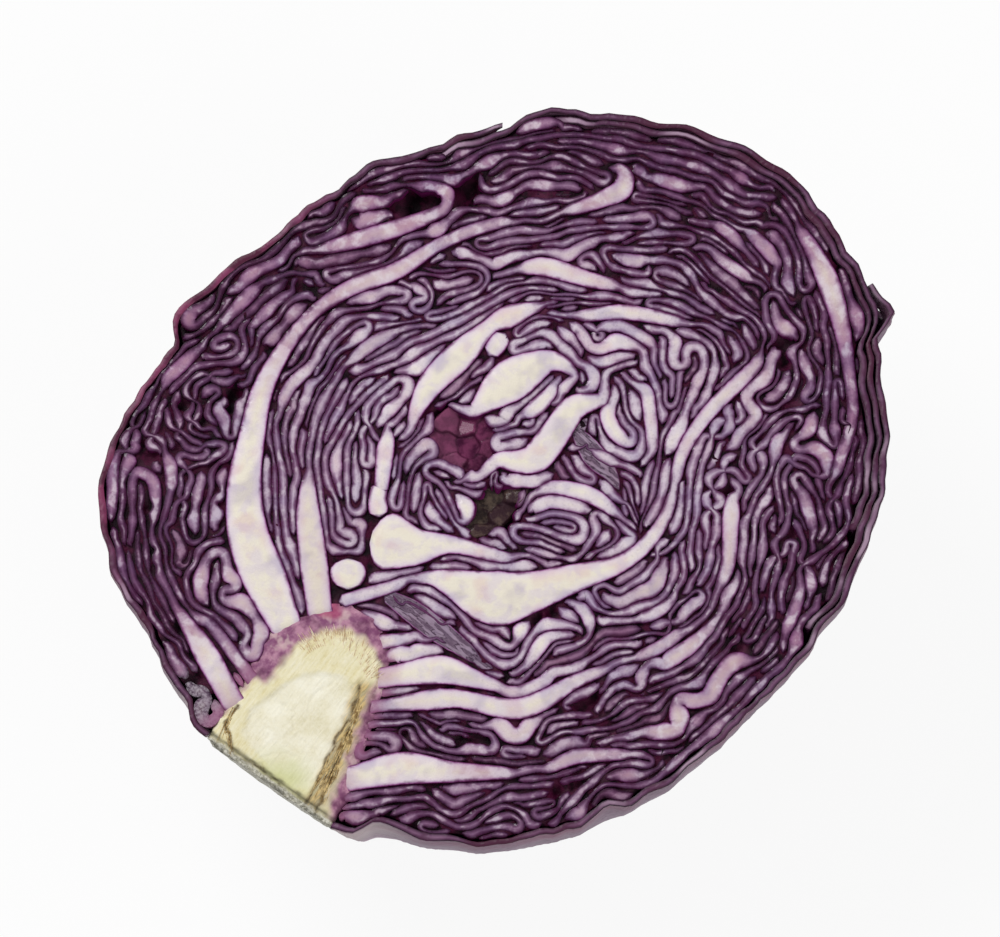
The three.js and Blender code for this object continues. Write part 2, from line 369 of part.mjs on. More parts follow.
// ---------------------------------------------------------------- leaves
/** Stations along a route: close together where it bends, wide apart where it runs straight. */
function routeStations(route) {
  const points = route.map(([x, y, thickness]) => new THREE.Vector3(x, y, thickness));
  const curve = new THREE.CatmullRomCurve3(points, false, 'centripetal');
  const fine = curve.getPoints(FINE_SAMPLES).map((point, sample, all) => {
    const before = all[Math.max(sample - 1, 0)];
    const after = all[Math.min(sample + 1, all.length - 1)];
    const heading = Math.atan2(after.y - before.y, after.x - before.x);
    return { x: point.x, y: point.y, thickness: point.z, heading };
  });
  const stations = [fine[0]];
  let [turn, length] = [0, 0];
  for (let sample = 1; sample < fine.length; sample += 1) {
    const change = fine[sample].heading - fine[sample - 1].heading;
    turn += Math.abs(Math.atan2(Math.sin(change), Math.cos(change)));
    length += Math.hypot(fine[sample].x - fine[sample - 1].x, fine[sample].y - fine[sample - 1].y);
    if (turn > MAX_TURN || length > MAX_STEP || sample === fine.length - 1) {
      stations.push(fine[sample]);
      [turn, length] = [0, 0];
    }
  }
  return stations;
}

function leafGeometry({ route, levels = BOWL_LEVELS }) {
  const stations = routeStations(route);
  return sheetGeometry(stations.length, levels.length, (row, column, side) => {
    const { x, y, thickness, heading } = stations[row];
    const reach = side ? thickness / 2 : -thickness / 2;
    return bowlPoint(x - Math.sin(heading) * reach, y + Math.cos(heading) * reach, levels[column]);
  });
}

// ---------------------------------------------------------------- core
/** Half of a rounded cone under the cut face; clearance widens it and lifts its flat top. */
function coreGeometry(clearance = 0) {
  const arcSteps = 10;
  const rings = CORE_STATIONS.map(([leftX, leftY, rightX, rightY], station) => {
    const left = new THREE.Vector2(leftX, leftY);
    const right = new THREE.Vector2(rightX, rightY);
    const middle = left.clone().add(right).multiplyScalar(0.5);
    const across = right.clone().sub(left).normalize();
    const along = new THREE.Vector2(-across.y, across.x);
    const half = left.distanceTo(right) / 2 + clearance;
    if (station === 0) middle.addScaledVector(along, -clearance);
    if (station === CORE_STATIONS.length - 1) middle.addScaledVector(along, clearance);
    const top = CUT_HEIGHT + (clearance > 0 ? 1 : 0);
    const ring = [];
    for (let step = 0; step <= arcSteps; step += 1) {
      const angle = (Math.PI * step) / arcSteps;
      const reach = -half * Math.cos(angle);
      const z = step === 0 || step === arcSteps ? top : CUT_HEIGHT - half * CORE_ROUNDNESS * Math.sin(angle);
      ring.push(new THREE.Vector3(middle.x + across.x * reach, middle.y + across.y * reach, z));
    }
    return ring;
  });
  return loftGeometry(rings);
}

// ---------------------------------------------------------------- wrapper leaves
/** Unit direction at alpha from a leaf's axis, turned beta round it from the cut face. */
function axisDirection(axis, alpha, beta) {
  const ahead = Math.cos(alpha);
  const aside = Math.sin(alpha) * Math.cos(beta);
  return new THREE.Vector3(
    ahead * Math.cos(axis) - aside * Math.sin(axis),
    ahead * Math.sin(axis) + aside * Math.cos(axis),
    -Math.sin(alpha) * Math.sin(beta),
  );
}

/** How fully a wrapper leaf covers a direction: 1 under it, 0 well past its margins. */
function coverage({ axis, alpha, beta }, direction) {
  const { radToDeg, smoothstep } = THREE.MathUtils;
  const ahead = direction.x * Math.cos(axis) + direction.y * Math.sin(axis);
  const aside = -direction.x * Math.sin(axis) + direction.y * Math.cos(axis);
  const turnAway = radToDeg(Math.acos(THREE.MathUtils.clamp(ahead, -1, 1)));
  const turnRound = radToDeg(Math.atan2(-direction.z, aside));
  const margins = [turnAway - alpha[0], alpha[1] - turnAway];
  if (beta[0] > 0) margins.push(turnRound - beta[0]);
  if (beta[1] < 180) margins.push(beta[1] - turnRound);
  return smoothstep(Math.min(...margins), -MARGIN_CLEAR - MARGIN_RISE, -MARGIN_CLEAR);
}

function wrapperGeometry(wrapper, outerLeaves) {
  const { alpha: [nearest, furthest], beta: [first, last] } = wrapper;
  const rows = Math.round((furthest - nearest) / WRAPPER_STEP) + 1;
  const columns = Math.round((last - first) / WRAPPER_STEP) + 1;
  const { degToRad } = THREE.MathUtils;
  return sheetGeometry(rows, columns, (row, column, side) => {
    const alpha = degToRad(nearest + row * WRAPPER_STEP);
    const beta = degToRad(first + column * WRAPPER_STEP);
    const direction = axisDirection(wrapper.axis, alpha, beta);
    const layers = outerLeaves.reduce((sum, leaf) => sum + coverage(leaf, direction), 0);
    const inset = layers * WRAPPER_PITCH + side * WRAPPER_THICKNESS;
    const theta = Math.atan2(direction.y, direction.x);
    const phi = Math.asin(THREE.MathUtils.clamp(-direction.z, 0, 1));
    const point = pointAt(theta, phi, headRadius(theta, phi) - inset);
    point.z = Math.max(point.z, inset);
    return point;
  });
}

// ---------------------------------------------------------------- solids that keep clear
const wasm = await Module();
wasm.setup();

function toSolid(geometry) {
  const merged = mergeVertices(geometry, 1e-4);
  return new wasm.Manifold(new wasm.Mesh({
    numProp: 3,
    vertProperties: new Float32Array(merged.attributes.position.array),
    triVerts: new Uint32Array(merged.index.array),
  }));
}

function toGeometry(solid) {
  const { vertProperties, triVerts, numProp } = solid.getMesh();
  const geometry = new THREE.BufferGeometry();
  const positions = new Float32Array((vertProperties.length / numProp) * 3);
  for (let vertex = 0; vertex * numProp < vertProperties.length; vertex += 1) {
    positions.set(vertProperties.subarray(vertex * numProp, vertex * numProp + 3), vertex * 3);
  }
  geometry.setAttribute('position', new THREE.BufferAttribute(positions, 3));
  geometry.setIndex([...triVerts]);
  return geometry;
}

/** Cut the room that the core needs out of a leaf, and keep the largest piece that is left. */
function clearOfCore(geometry, coreRoom) {
  const solid = toSolid(geometry);
  if (solid.intersect(coreRoom).volume() < 1e-6) return geometry;
  const pieces = solid.subtract(coreRoom).decompose();
  return toGeometry(pieces.sort((a, b) => b.volume() - a.volume())[0]);
}

// ---------------------------------------------------------------- colours and assembly
const FINISHES = {
  core: { color: 0xe3dcb4, roughness: 0.55, metalness: 0 },
  rib: { color: 0xe4dbe0, roughness: 0.45, metalness: 0 },
  leaf: { color: 0x8d6f92, roughness: 0.45, metalness: 0 },
  wrapper: { color: 0x6e4f68, roughness: 0.6, metalness: 0 },
};

const cabbage = new THREE.Group();

function addMesh(name, geometry, finish) {
  const mesh = new THREE.Mesh(geometry, new THREE.MeshStandardMaterial(FINISHES[finish]));
  mesh.name = name;
  cabbage.add(mesh);
}

const coreRoom = toSolid(coreGeometry(LEAF_GAP));
addMesh('core_stump', coreGeometry(), 'core');
WRAPPERS.forEach((wrapper, order) => {
  const geometry = wrapperGeometry(wrapper, WRAPPERS.slice(0, order));
  addMesh(wrapper.name, clearOfCore(geometry, coreRoom), 'wrapper');
});
for (const leaf of LEAVES) {
  const finish = leaf.name.includes('rib') ? 'rib' : 'leaf';
  addMesh(leaf.name, clearOfCore(leafGeometry(leaf), coreRoom), finish);
}

// The origin is under the middle of the whole half.
const middle = new THREE.Box3().setFromObject(cabbage).getCenter(new THREE.Vector3());
cabbage.position.set(-middle.x, -middle.y, 0);

export default cabbage;
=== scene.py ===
"""Looks of half a red cabbage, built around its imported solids.

The cut face is grown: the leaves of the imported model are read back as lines, the free space between
them is filled with more folds, and all the blades then lengthen and crinkle against each other until
they fill the head. Every fold is swept down its own bowl, so it is a real leaf and not a picture of one.
"""
from __future__ import annotations

import json
import logging
import math
from collections import defaultdict
from collections.abc import Callable
from dataclasses import dataclass, field, replace
from enum import Enum

import bpy
import numpy as np
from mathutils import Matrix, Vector

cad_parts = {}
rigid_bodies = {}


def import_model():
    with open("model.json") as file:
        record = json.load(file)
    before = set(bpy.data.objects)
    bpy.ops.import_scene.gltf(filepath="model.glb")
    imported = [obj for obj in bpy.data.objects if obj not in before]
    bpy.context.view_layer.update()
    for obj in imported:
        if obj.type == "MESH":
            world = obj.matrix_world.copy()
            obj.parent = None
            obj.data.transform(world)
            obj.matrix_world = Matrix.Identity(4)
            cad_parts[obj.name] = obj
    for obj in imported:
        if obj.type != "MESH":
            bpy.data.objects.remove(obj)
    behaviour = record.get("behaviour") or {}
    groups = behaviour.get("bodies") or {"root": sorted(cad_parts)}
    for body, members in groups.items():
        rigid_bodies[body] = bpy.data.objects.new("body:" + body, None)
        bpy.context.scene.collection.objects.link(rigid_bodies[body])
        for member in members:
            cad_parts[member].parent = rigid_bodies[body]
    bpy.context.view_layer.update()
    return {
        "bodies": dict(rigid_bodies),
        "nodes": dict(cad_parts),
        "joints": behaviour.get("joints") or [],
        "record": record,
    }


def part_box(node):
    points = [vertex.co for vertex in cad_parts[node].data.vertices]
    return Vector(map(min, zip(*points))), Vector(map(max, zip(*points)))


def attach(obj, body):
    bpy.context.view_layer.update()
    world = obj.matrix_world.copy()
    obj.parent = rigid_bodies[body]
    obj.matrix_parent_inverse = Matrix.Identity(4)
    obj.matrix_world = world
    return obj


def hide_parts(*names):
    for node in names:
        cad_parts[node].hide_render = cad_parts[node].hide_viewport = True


log = logging.getLogger("cabbage")

MM = 0.001
BODY = "root"


# ---------------------------------------------------------------- numbers and lines
def smoothstep(value: np.ndarray | float, low: float, high: float) -> np.ndarray:
    """Smooth rise from 0 at low to 1 at high."""
    share = np.clip((np.asarray(value, float) - low) / (high - low), 0.0, 1.0)
    return share * share * (3.0 - 2.0 * share)


def lengths(vectors: np.ndarray) -> np.ndarray:
    """Length of each plane vector."""
    return np.hypot(vectors[..., 0], vectors[..., 1])


def turned(angle: np.ndarray, start: float) -> np.ndarray:
    """Angle from a start, between minus and plus half a turn."""
    return np.angle(np.exp(1j * (angle - start)))


def spaced(line: np.ndarray, step: float) -> np.ndarray:
    """Points of a line at even steps.

    Args:
        line: rows of x, y and any further columns, which are carried along.
        step: distance between points in mm.

    Returns:
        The new rows, first and last point kept.
    """
    reach = np.r_[0.0, np.cumsum(lengths(np.diff(line[:, :2], axis=0)))]
    keep = np.r_[True, np.diff(reach) > 1e-9]
    count = max(2, int(round(reach[-1] / step)) + 1)
    at = np.linspace(0.0, reach[-1], count)
    return np.column_stack([np.interp(at, reach[keep], line[keep, k]) for k in range(line.shape[1])])


def curve_through(points: np.ndarray, cuts: int = 12, closed: bool = False) -> np.ndarray:
    """Smooth curve through points, with a number of cuts between each two."""
    if closed:
        ring = np.vstack([points[-1:], points, points[:2]])
    else:
        ring = np.vstack([2 * points[0] - points[1], points, 2 * points[-1] - points[-2]])
    share = np.linspace(0.0, 1.0, cuts, endpoint=False)[:, None]
    pieces = []
    for a, b, c, d in zip(ring[:-3], ring[1:-2], ring[2:-1], ring[3:]):
        pieces.append(0.5 * (2 * b + (c - a) * share + (2 * a - 5 * b + 4 * c - d) * share ** 2
                             + (3 * b - a - 3 * c + d) * share ** 3))
    if not closed:
        pieces.append(points[-1:])
    return np.vstack(pieces)


def evened(values: np.ndarray, times: int) -> np.ndarray:
    """Values along a line, averaged with their neighbours a number of times."""
    for _ in range(times):
        values = values.copy()
        values[1:-1] = 0.25 * values[:-2] + 0.5 * values[1:-1] + 0.25 * values[2:]
    return values


def waves(rng: np.random.Generator, points: np.ndarray, size: float, count: int = 6) -> np.ndarray:
    """Smooth random values of about -1 to 1 at points.

    Args:
        rng: seeded generator.
        points: rows of coordinates in mm, two or three columns.
        size: about how far apart the crests are, in mm.
        count: number of waves that are added.
    """
    total = np.zeros(len(points))
    for _ in range(count):
        heading = rng.normal(size=points.shape[1])
        heading *= 2 * np.pi / (size * rng.uniform(0.7, 1.4)) / np.linalg.norm(heading)
        total += np.sin(points @ heading + rng.uniform(0, 2 * np.pi))
    return total * 1.4 / count


# ---------------------------------------------------------------- the head's own shape
@dataclass(frozen=True)
class Wrapper:
    """Where an outer leaf lies: alpha from its axis, beta round it from the cut face, in degrees."""

    name: str
    axis: float
    alpha: tuple[float, float]
    beta: tuple[float, float]


STEM_AXIS = 232.0
APEX_AXIS = STEM_AXIS + 90.0
WRAPPERS = (
    Wrapper("wrapper_leaf_1", STEM_AXIS, (12, 156), (0, 102)),
    Wrapper("wrapper_leaf_2", STEM_AXIS, (12, 144), (84, 180)),
    Wrapper("wrapper_leaf_3", APEX_AXIS, (15, 135), (0, 66)),
    Wrapper("wrapper_leaf_4", APEX_AXIS, (33, 117), (0, 48)),
)


@dataclass
class Head:
    """The half head: its outline, its nested bowls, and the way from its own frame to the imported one."""

    heart: tuple[float, float] = (0.0, -5.0)
    cut_height: float = 69.0
    # How much farther the bowls reach down than the head is high, so that the pole can be pressed flat.
    pole_bulge: float = 1.5
    # How far leaves draw in below the cut, and over which depth angle.
    tuck: float = 2.2
    tuck_angle: float = math.radians(18)
    shift: np.ndarray = field(default_factory=lambda: np.zeros(2))
    # The cut outline, x and y in mm.
    outline: tuple = (
        (-54.5, -51.5), (-59.5, -44), (-63.5, -36), (-69.5, -26), (-73.4, -17), (-75.4, -8),
        (-74.6, 0), (-72.8, 7), (-68, 15), (-63, 23), (-59.8, 31), (-54, 37.6), (-46, 43.6),
        (-36, 52), (-26, 59.3), (-17, 62.4), (-8, 66), (1, 68.6), (11, 71.6), (23, 70.8),
        (36, 68.2), (46, 64.8), (56, 58.4), (64, 49.6), (70, 40), (73.3, 30), (74.6, 15),
        (74.6, 3), (72.6, -8), (69.6, -18), (64.5, -27.5), (57.5, -37), (48, -47), (38, -56.3),
        (27, -63.6), (14, -69.2), (0, -72), (-14, -70.8), (-23, -69), (-30.5, -68.7))
    # Bumps and notches of the cut edge: direction and breadth in degrees, height in mm.
    bumps: tuple = (
        (-146, 3, -0.8), (-160, 3, -1.2), (-173, 2, -0.8), (161, 2, 0.5), (154, 1.8, -1.1), (149, 3, 1.2),
        (136, 2, 0.8), (131, 2, -0.7), (116, 3, -0.6), (108, 2.5, 0.6), (98, 1.5, -0.9), (83, 3, 0.5),
        (77, 3, -0.7), (69, 3, -0.4), (48, 2.5, 0.7), (43, 2, -0.5), (36, 2, -0.5), (26.5, 2.5, 1.8),
        (23, 1.5, -1.3), (18, 3, -1.2), (-1, 3, 0.4), (-6, 2.5, -0.5), (-12, 2.5, -0.8), (-17, 2, 0.4),
        (-22, 3, -0.9), (-38, 4, -0.6), (-51, 4, -0.5), (-71, 3, -1.6), (-83, 2, -0.9), (-108, 4, -1.5))
    bump_depth: float = math.radians(24)
    # Left and right edge of the cut stem, from the butt up.
    core_edges: tuple = (
        (-54.4, -51.4, -30.6, -68.5), (-51.6, -47.8, -28.7, -62.4), (-49.2, -44.8, -27.2, -56.6),
        (-46.4, -41.2, -25.3, -50.6), (-44.6, -36.6, -23, -43.8), (-42.8, -32.6, -21.4, -37.6),
        (-39.6, -29.8, -21.4, -32.6), (-36.2, -28.2, -23.6, -28.6), (-32.4, -27, -28, -26.4))

    def __post_init__(self) -> None:
        """Work out the outline's radius for every direction."""
        curve = curve_through(np.array(self.outline, float), 16, closed=True) - self.heart
        angle = np.arctan2(curve[:, 1], curve[:, 0])
        order = np.argsort(angle)
        self._angles = angle[order]
        self._radii = lengths(curve)[order]

    def locate(self) -> None:
        """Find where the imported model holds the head, from the core's lowest corner."""
        low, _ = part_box("core_stump")
        edges = np.array(self.core_edges)
        self.shift = np.array([low.x, low.y]) / MM - [edges[:, [0, 2]].min(), edges[:, [1, 3]].min()]

    def core_ring(self) -> np.ndarray:
        """Outline of the cut stem."""
        edges = np.array(self.core_edges)
        return np.vstack([edges[:, :2], edges[::-1, 2:]])

    def outline_radius(self, theta: np.ndarray) -> np.ndarray:
        """Radius of the cut outline from the heart."""
        return np.interp(theta, self._angles, self._radii, period=2 * np.pi)

    def edge_bump(self, theta: np.ndarray) -> np.ndarray:
        """How far the cut edge stands out from the smooth outline."""
        total = 0.22 * np.sin(theta * 37 + 2 * np.sin(theta * 5))
        total = total + 0.16 * np.sin(theta * 71 + 3 * np.sin(theta * 9))
        for direction, breadth, height in self.bumps:
            away = np.degrees(turned(theta, math.radians(direction)))
            total = total + height * np.exp(-(away / breadth) ** 2)
        return total

    def edge_radius(self, theta: np.ndarray) -> np.ndarray:
        """Radius of the real cut edge from the heart."""
        return self.outline_radius(theta) + self.edge_bump(theta)

    def polar(self, points: np.ndarray) -> tuple[np.ndarray, np.ndarray]:
        """Direction from the heart and share of the way to the outline."""
        away = points[..., :2] - self.heart
        theta = np.arctan2(away[..., 1], away[..., 0])
        return theta, lengths(away) / self.outline_radius(theta)

    def radius(self, theta: np.ndarray, phi: np.ndarray) -> np.ndarray:
        """Radius of the whole head at depth angle phi below the cut face."""
        depth = np.sin(phi) ** 2
        return (1 - depth) * self.outline_radius(theta) + depth * (self.cut_height + self.pole_bulge)

    def place(self, theta: np.ndarray, phi: np.ndarray, radius: np.ndarray) -> np.ndarray:
        """Points in mm from spherical coordinates round the heart."""
        flat = radius * np.cos(phi)
        return np.stack([self.heart[0] + flat * np.cos(theta), self.heart[1] + flat * np.sin(theta),
                         self.cut_height - radius * np.sin(phi)], axis=-1)

    def bowl(self, points: np.ndarray, phi: float) -> np.ndarray:
        """Carry points of the cut face down their own nested bowls to a depth angle."""
        theta, share = self.polar(points)
        tuck = self.tuck * smoothstep(phi, 0.0, self.tuck_angle)
        return self.place(theta, np.full(theta.shape, phi), share * (self.radius(theta, phi) - tuck))

    def metres(self, points: np.ndarray) -> np.ndarray:
        """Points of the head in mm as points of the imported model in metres."""
        moved = points.copy()
        moved[..., :2] += self.shift
        return moved * MM


# Distance in mm that stands for nothing near.
FAR = 9.0
# Fewest points of a fold.
SHORTEST_FOLD = 5
# The outer leaves: thickness and distance between layers in mm.
WRAPPER_THICKNESS = 1.05
WRAPPER_PITCH = 1.5
# How far past its margins an outer leaf's cover stays full, and over how much it then fades, in degrees.
MARGIN_CLEAR = 7.0
MARGIN_RISE = 14.0


def directions(axis: float, alpha: np.ndarray, beta: np.ndarray) -> np.ndarray:
    """Unit directions at alpha from an axis on the cut face, turned beta round it."""
    turn = math.radians(axis)
    ahead = np.cos(alpha)
    aside = np.sin(alpha) * np.cos(beta)
    return np.stack([ahead * math.cos(turn) - aside * math.sin(turn),
                     ahead * math.sin(turn) + aside * math.cos(turn),
                     -np.sin(alpha) * np.sin(beta)], axis=-1)


def coverage(wrapper: Wrapper, towards: np.ndarray) -> np.ndarray:
    """How fully an outer leaf covers directions: 1 under it, 0 well past its margins."""
    turn = math.radians(wrapper.axis)
    ahead = towards[..., 0] * math.cos(turn) + towards[..., 1] * math.sin(turn)
    aside = towards[..., 1] * math.cos(turn) - towards[..., 0] * math.sin(turn)
    turn_away = np.degrees(np.arccos(np.clip(ahead, -1, 1)))
    turn_round = np.degrees(np.arctan2(-towards[..., 2], aside))
    inside = np.minimum(turn_away - wrapper.alpha[0], wrapper.alpha[1] - turn_away)
    if wrapper.beta[0] > 0:
        inside = np.minimum(inside, turn_round - wrapper.beta[0])
    if wrapper.beta[1] < 180:
        inside = np.minimum(inside, wrapper.beta[1] - turn_round)
    return smoothstep(inside, -MARGIN_CLEAR - MARGIN_RISE, -MARGIN_CLEAR)


def spread_round(ring: np.ndarray, pick: Callable, times: int) -> np.ndarray:
    """Values for every degree, eased into their neighbours on the side that pick prefers."""
    for _ in range(times):
        ring = pick(ring, 0.25 * np.roll(ring, 1) + 0.5 * ring + 0.25 * np.roll(ring, -1))
    return ring


def cut_insets() -> tuple[np.ndarray, np.ndarray]:
    """How far the outermost leaf and the innermost one's inside lie below the head's round, by degree."""
    angle = np.radians(np.arange(-180.0, 180.0))
    towards = np.stack([np.cos(angle), np.sin(angle), np.full_like(angle, -1e-9)], axis=-1)
    outside = np.full(len(angle), WRAPPER_PITCH)
    inside = np.zeros(len(angle))
    for order, wrapper in enumerate(WRAPPERS):
        away = np.degrees(turned(angle, math.radians(wrapper.axis)))
        aside = away if wrapper.beta[0] == 0 else -away
        layers = sum((coverage(leaf, towards) for leaf in WRAPPERS[:order]), np.zeros(len(angle)))
        here = (aside > wrapper.alpha[0] - 1) & (aside < wrapper.alpha[1] + 1)
        outside = np.where(here, np.minimum(outside, layers * WRAPPER_PITCH), outside)
        inside = np.maximum(inside, here * (layers * WRAPPER_PITCH + WRAPPER_THICKNESS + 0.25))
    outside = spread_round(outside, np.minimum, 14)
    return outside, spread_round(inside, np.maximum, 4)


def outer_inset(theta: np.ndarray) -> np.ndarray:
    """How far the outermost leaf lies below the head's round at the cut, in mm."""
    return np.interp(theta, np.radians(np.arange(-180.0, 180.0)), cut_insets()[0], period=2 * np.pi)


def inner_inset(theta: np.ndarray) -> np.ndarray:
    """How far the inside of the outermost leaves lies from the cut edge, in mm."""
    outside, inside = cut_insets()
    return np.interp(theta, np.radians(np.arange(-180.0, 180.0)), inside - outside, period=2 * np.pi)


# ---------------------------------------------------------------- free space on the cut face
def blend(grid: np.ndarray, i: np.ndarray | int, j: np.ndarray | int,
          u: np.ndarray | float, v: np.ndarray | float) -> np.ndarray | float:
    """Value of a grid at shares u and v between column i, row j and the next ones."""
    return (grid[j, i] * (1 - u) * (1 - v) + grid[j, i + 1] * u * (1 - v)
            + grid[j + 1, i] * (1 - u) * v + grid[j + 1, i + 1] * u * v)


@dataclass
class Clearance:
    """Grid over the cut face that holds how far away the nearest thing is."""

    step: float = 0.25
    low: tuple[float, float] = (-80.0, -77.0)
    high: tuple[float, float] = (80.0, 77.0)
    limit: float = 3.0

    def __post_init__(self) -> None:
        """Lay out the grid, empty."""
        self.xs = np.arange(self.low[0], self.high[0] + self.step / 2, self.step)
        self.ys = np.arange(self.low[1], self.high[1] + self.step / 2, self.step)
        self.room = np.full((len(self.ys), len(self.xs)), self.limit)

    def nodes(self) -> np.ndarray:
        """Every grid point, in the shape of the grid."""
        return np.dstack(np.meshgrid(self.xs, self.ys))

    def window(self, x: float, y: float, reach: float) -> tuple[slice, slice]:
        """Rows and columns within reach of a point."""
        first = max(0, int((x - reach - self.low[0]) / self.step))
        last = min(len(self.xs), int((x + reach - self.low[0]) / self.step) + 2)
        bottom = max(0, int((y - reach - self.low[1]) / self.step))
        top = min(len(self.ys), int((y + reach - self.low[1]) / self.step) + 2)
        return slice(bottom, max(top, bottom)), slice(first, max(last, first))

    def add(self, centres: np.ndarray, radii: np.ndarray, scale: np.ndarray | None = None) -> None:
        """Put discs on the grid; scale shrinks the measure of distance round each."""
        scale = np.ones(len(centres)) if scale is None else scale
        for (x, y), radius, unit in zip(centres[:, :2], radii, scale):
            rows, columns = self.window(x, y, (radius + self.limit) * unit)
            away = np.hypot(self.xs[None, columns] - x, self.ys[rows, None] - y) / unit - radius
            np.minimum(self.room[rows, columns], away, out=self.room[rows, columns])

    def at(self, points: np.ndarray) -> np.ndarray:
        """Room between grid points."""
        across = np.clip((points[..., 0] - self.low[0]) / self.step, 0, len(self.xs) - 1.001)
        up = np.clip((points[..., 1] - self.low[1]) / self.step, 0, len(self.ys) - 1.001)
        i, j = across.astype(int), up.astype(int)
        return blend(self.room, i, j, across - i, up - j)

    def cell(self, place: np.ndarray, rim: int) -> tuple[int, int, float, float] | None:
        """Column and row of the cell that holds a point, and the shares across and up it.

        Args:
            place: x and y.
            rim: number of cells along the grid's border that count as outside.

        Returns:
            The four values, or None outside the grid.
        """
        across = (place[0] - self.low[0]) / self.step
        up = (place[1] - self.low[1]) / self.step
        i, j = int(across), int(up)
        if i < rim or j < rim or i >= len(self.xs) - 1 - rim or j >= len(self.ys) - 1 - rim:
            return None
        return i, j, across - i, up - j

    def uphill(self, points: np.ndarray) -> np.ndarray:
        """Direction in which the room grows fastest."""
        reach = 0.3
        slope = np.column_stack([self.at(points + [reach, 0]) - self.at(points - [reach, 0]),
                                 self.at(points + [0, reach]) - self.at(points - [0, reach])])
        return slope / np.maximum(lengths(slope), 1e-6)[:, None]


def near_pairs(points: np.ndarray, reach: float) -> tuple[np.ndarray, np.ndarray]:
    """Index pairs of points closer than reach, each pair once."""
    cells = np.floor((points - points.min(0)) / reach).astype(np.int64) + 1
    width = cells[:, 0].max() + 3
    keys = cells[:, 1] * width + cells[:, 0]
    order = np.argsort(keys, kind="stable")
    ordered = keys[order]
    every = np.arange(len(points))
    firsts, seconds = [], []
    for offset in (0, 1, width - 1, width, width + 1):
        start = np.searchsorted(ordered, keys + offset, "left")
        count = np.searchsorted(ordered, keys + offset, "right") - start
        first = np.repeat(every, count)
        base = np.repeat(start - np.r_[0, np.cumsum(count)[:-1]], count)
        second = order[base + np.arange(count.sum())]
        keep = lengths(points[first] - points[second]) < reach
        if offset == 0:
            keep &= first < second
        firsts.append(first[keep])
        seconds.append(second[keep])
    return np.concatenate(firsts), np.concatenate(seconds)


# ---------------------------------------------------------------- how the folds lie
@dataclass(frozen=True)
class Zone:
    """Round part of the cut face where something is larger or smaller than elsewhere."""

    x: float
    y: float
    reach: float
    factor: float


def zone_factor(points: np.ndarray, zones: tuple[Zone, ...], fade: float = 3.0) -> np.ndarray:
    """Factor at points: each zone's own inside its reach, 1 outside it."""
    factor = np.ones(len(points))
    for zone in zones:
        away = np.hypot(points[:, 0] - zone.x, points[:, 1] - zone.y)
        share = smoothstep(away, zone.reach, zone.reach + fade)
        here = zone.factor + (1 - zone.factor) * share
        factor = np.where(share < 1, np.where(zone.factor < 1, np.minimum(factor, here),
                                              np.maximum(factor, here)), factor)
    return factor


FINE_ZONES = (Zone(8, 35, 6, 0.55), Zone(-6, 33, 6, 0.6), Zone(7, 27, 4, 0.55), Zone(29, -5, 5, 0.6),
              Zone(24, -12, 5, 0.6), Zone(-9, -5, 5, 0.65), Zone(18, 36, 4, 0.6))
CALM_ZONES = (Zone(20, 62, 14, 0.3), Zone(50, 50, 12, 0.35), Zone(68, 15, 12, 0.3), Zone(0, -66, 12, 0.5),
              Zone(-8, 48, 6, 0.5), Zone(30, -52, 10, 0.6), Zone(64, -15, 8, 0.5))
# Gaps that stay open: x, y and radius.
HOLLOWS = (
    (-15.5, 53, 2.6), (-12.5, 53.4, 2.2), (-18.5, 52.3, 1.8), (-5, 56, 2.4), (-6, 53.8, 1.8),
    (-59.4, 13.4, 1.4), (-55.4, 10, 1.1), (-49.6, 15.4, 1.7), (-50.3, 12.6, 1.2), (-60.3, 5.4, 1),
    (-63.5, 9, 0.9), (-65.4, 3.6, 1.4), (-67.2, 5.6, 1), (-52.2, -3, 0.8), (-52.3, -6, 0.8),
    (-52.2, -9.6, 0.8), (-66, -6.6, 1.2), (-66, -9.4, 0.9), (-58.6, 28, 1.1), (-39.6, 36.6, 0.9),
    (-37.4, 36.4, 1.1), (-35, 36, 0.8), (-43, 24.4, 0.9),
    (-65, -15, 0.9), (-65, -18.5, 0.9), (-59.5, -30.5, 1.3), (-57, -36, 1), (-56.5, -40, 1.2),
    (55, 22, 1.5), (55, 25.5, 1.5), (52, -12, 0.9), (52.2, -15.5, 0.9), (56.5, -11.5, 1.2),
    (44.5, -3.5, 1.3), (68.5, -7, 0.9), (68.5, -10.5, 0.9), (65.5, -20.5, 1.2), (46, -34, 1.2),
    (48, -34, 1), (16.5, -45, 1.6), (18.5, -44, 1.4), (-17, -50.5, 1), (-6.5, -51.6, 1.1),
    (-3.5, -51.6, 1.3), (-1.5, -51.8, 1), (12, -61.4, 1.4), (15, -60.6, 1.3), (17, -59.6, 0.9),
    (33, -55, 0.9), (8, -28, 1.1), (11, -27.4, 1.2), (-6, 6.5, 5.5), (-3, 2.5, 2.5), (-9, 10, 3),
    (0, -7, 4), (2.5, -4.5, 2.2), (-3, -10, 2.2))
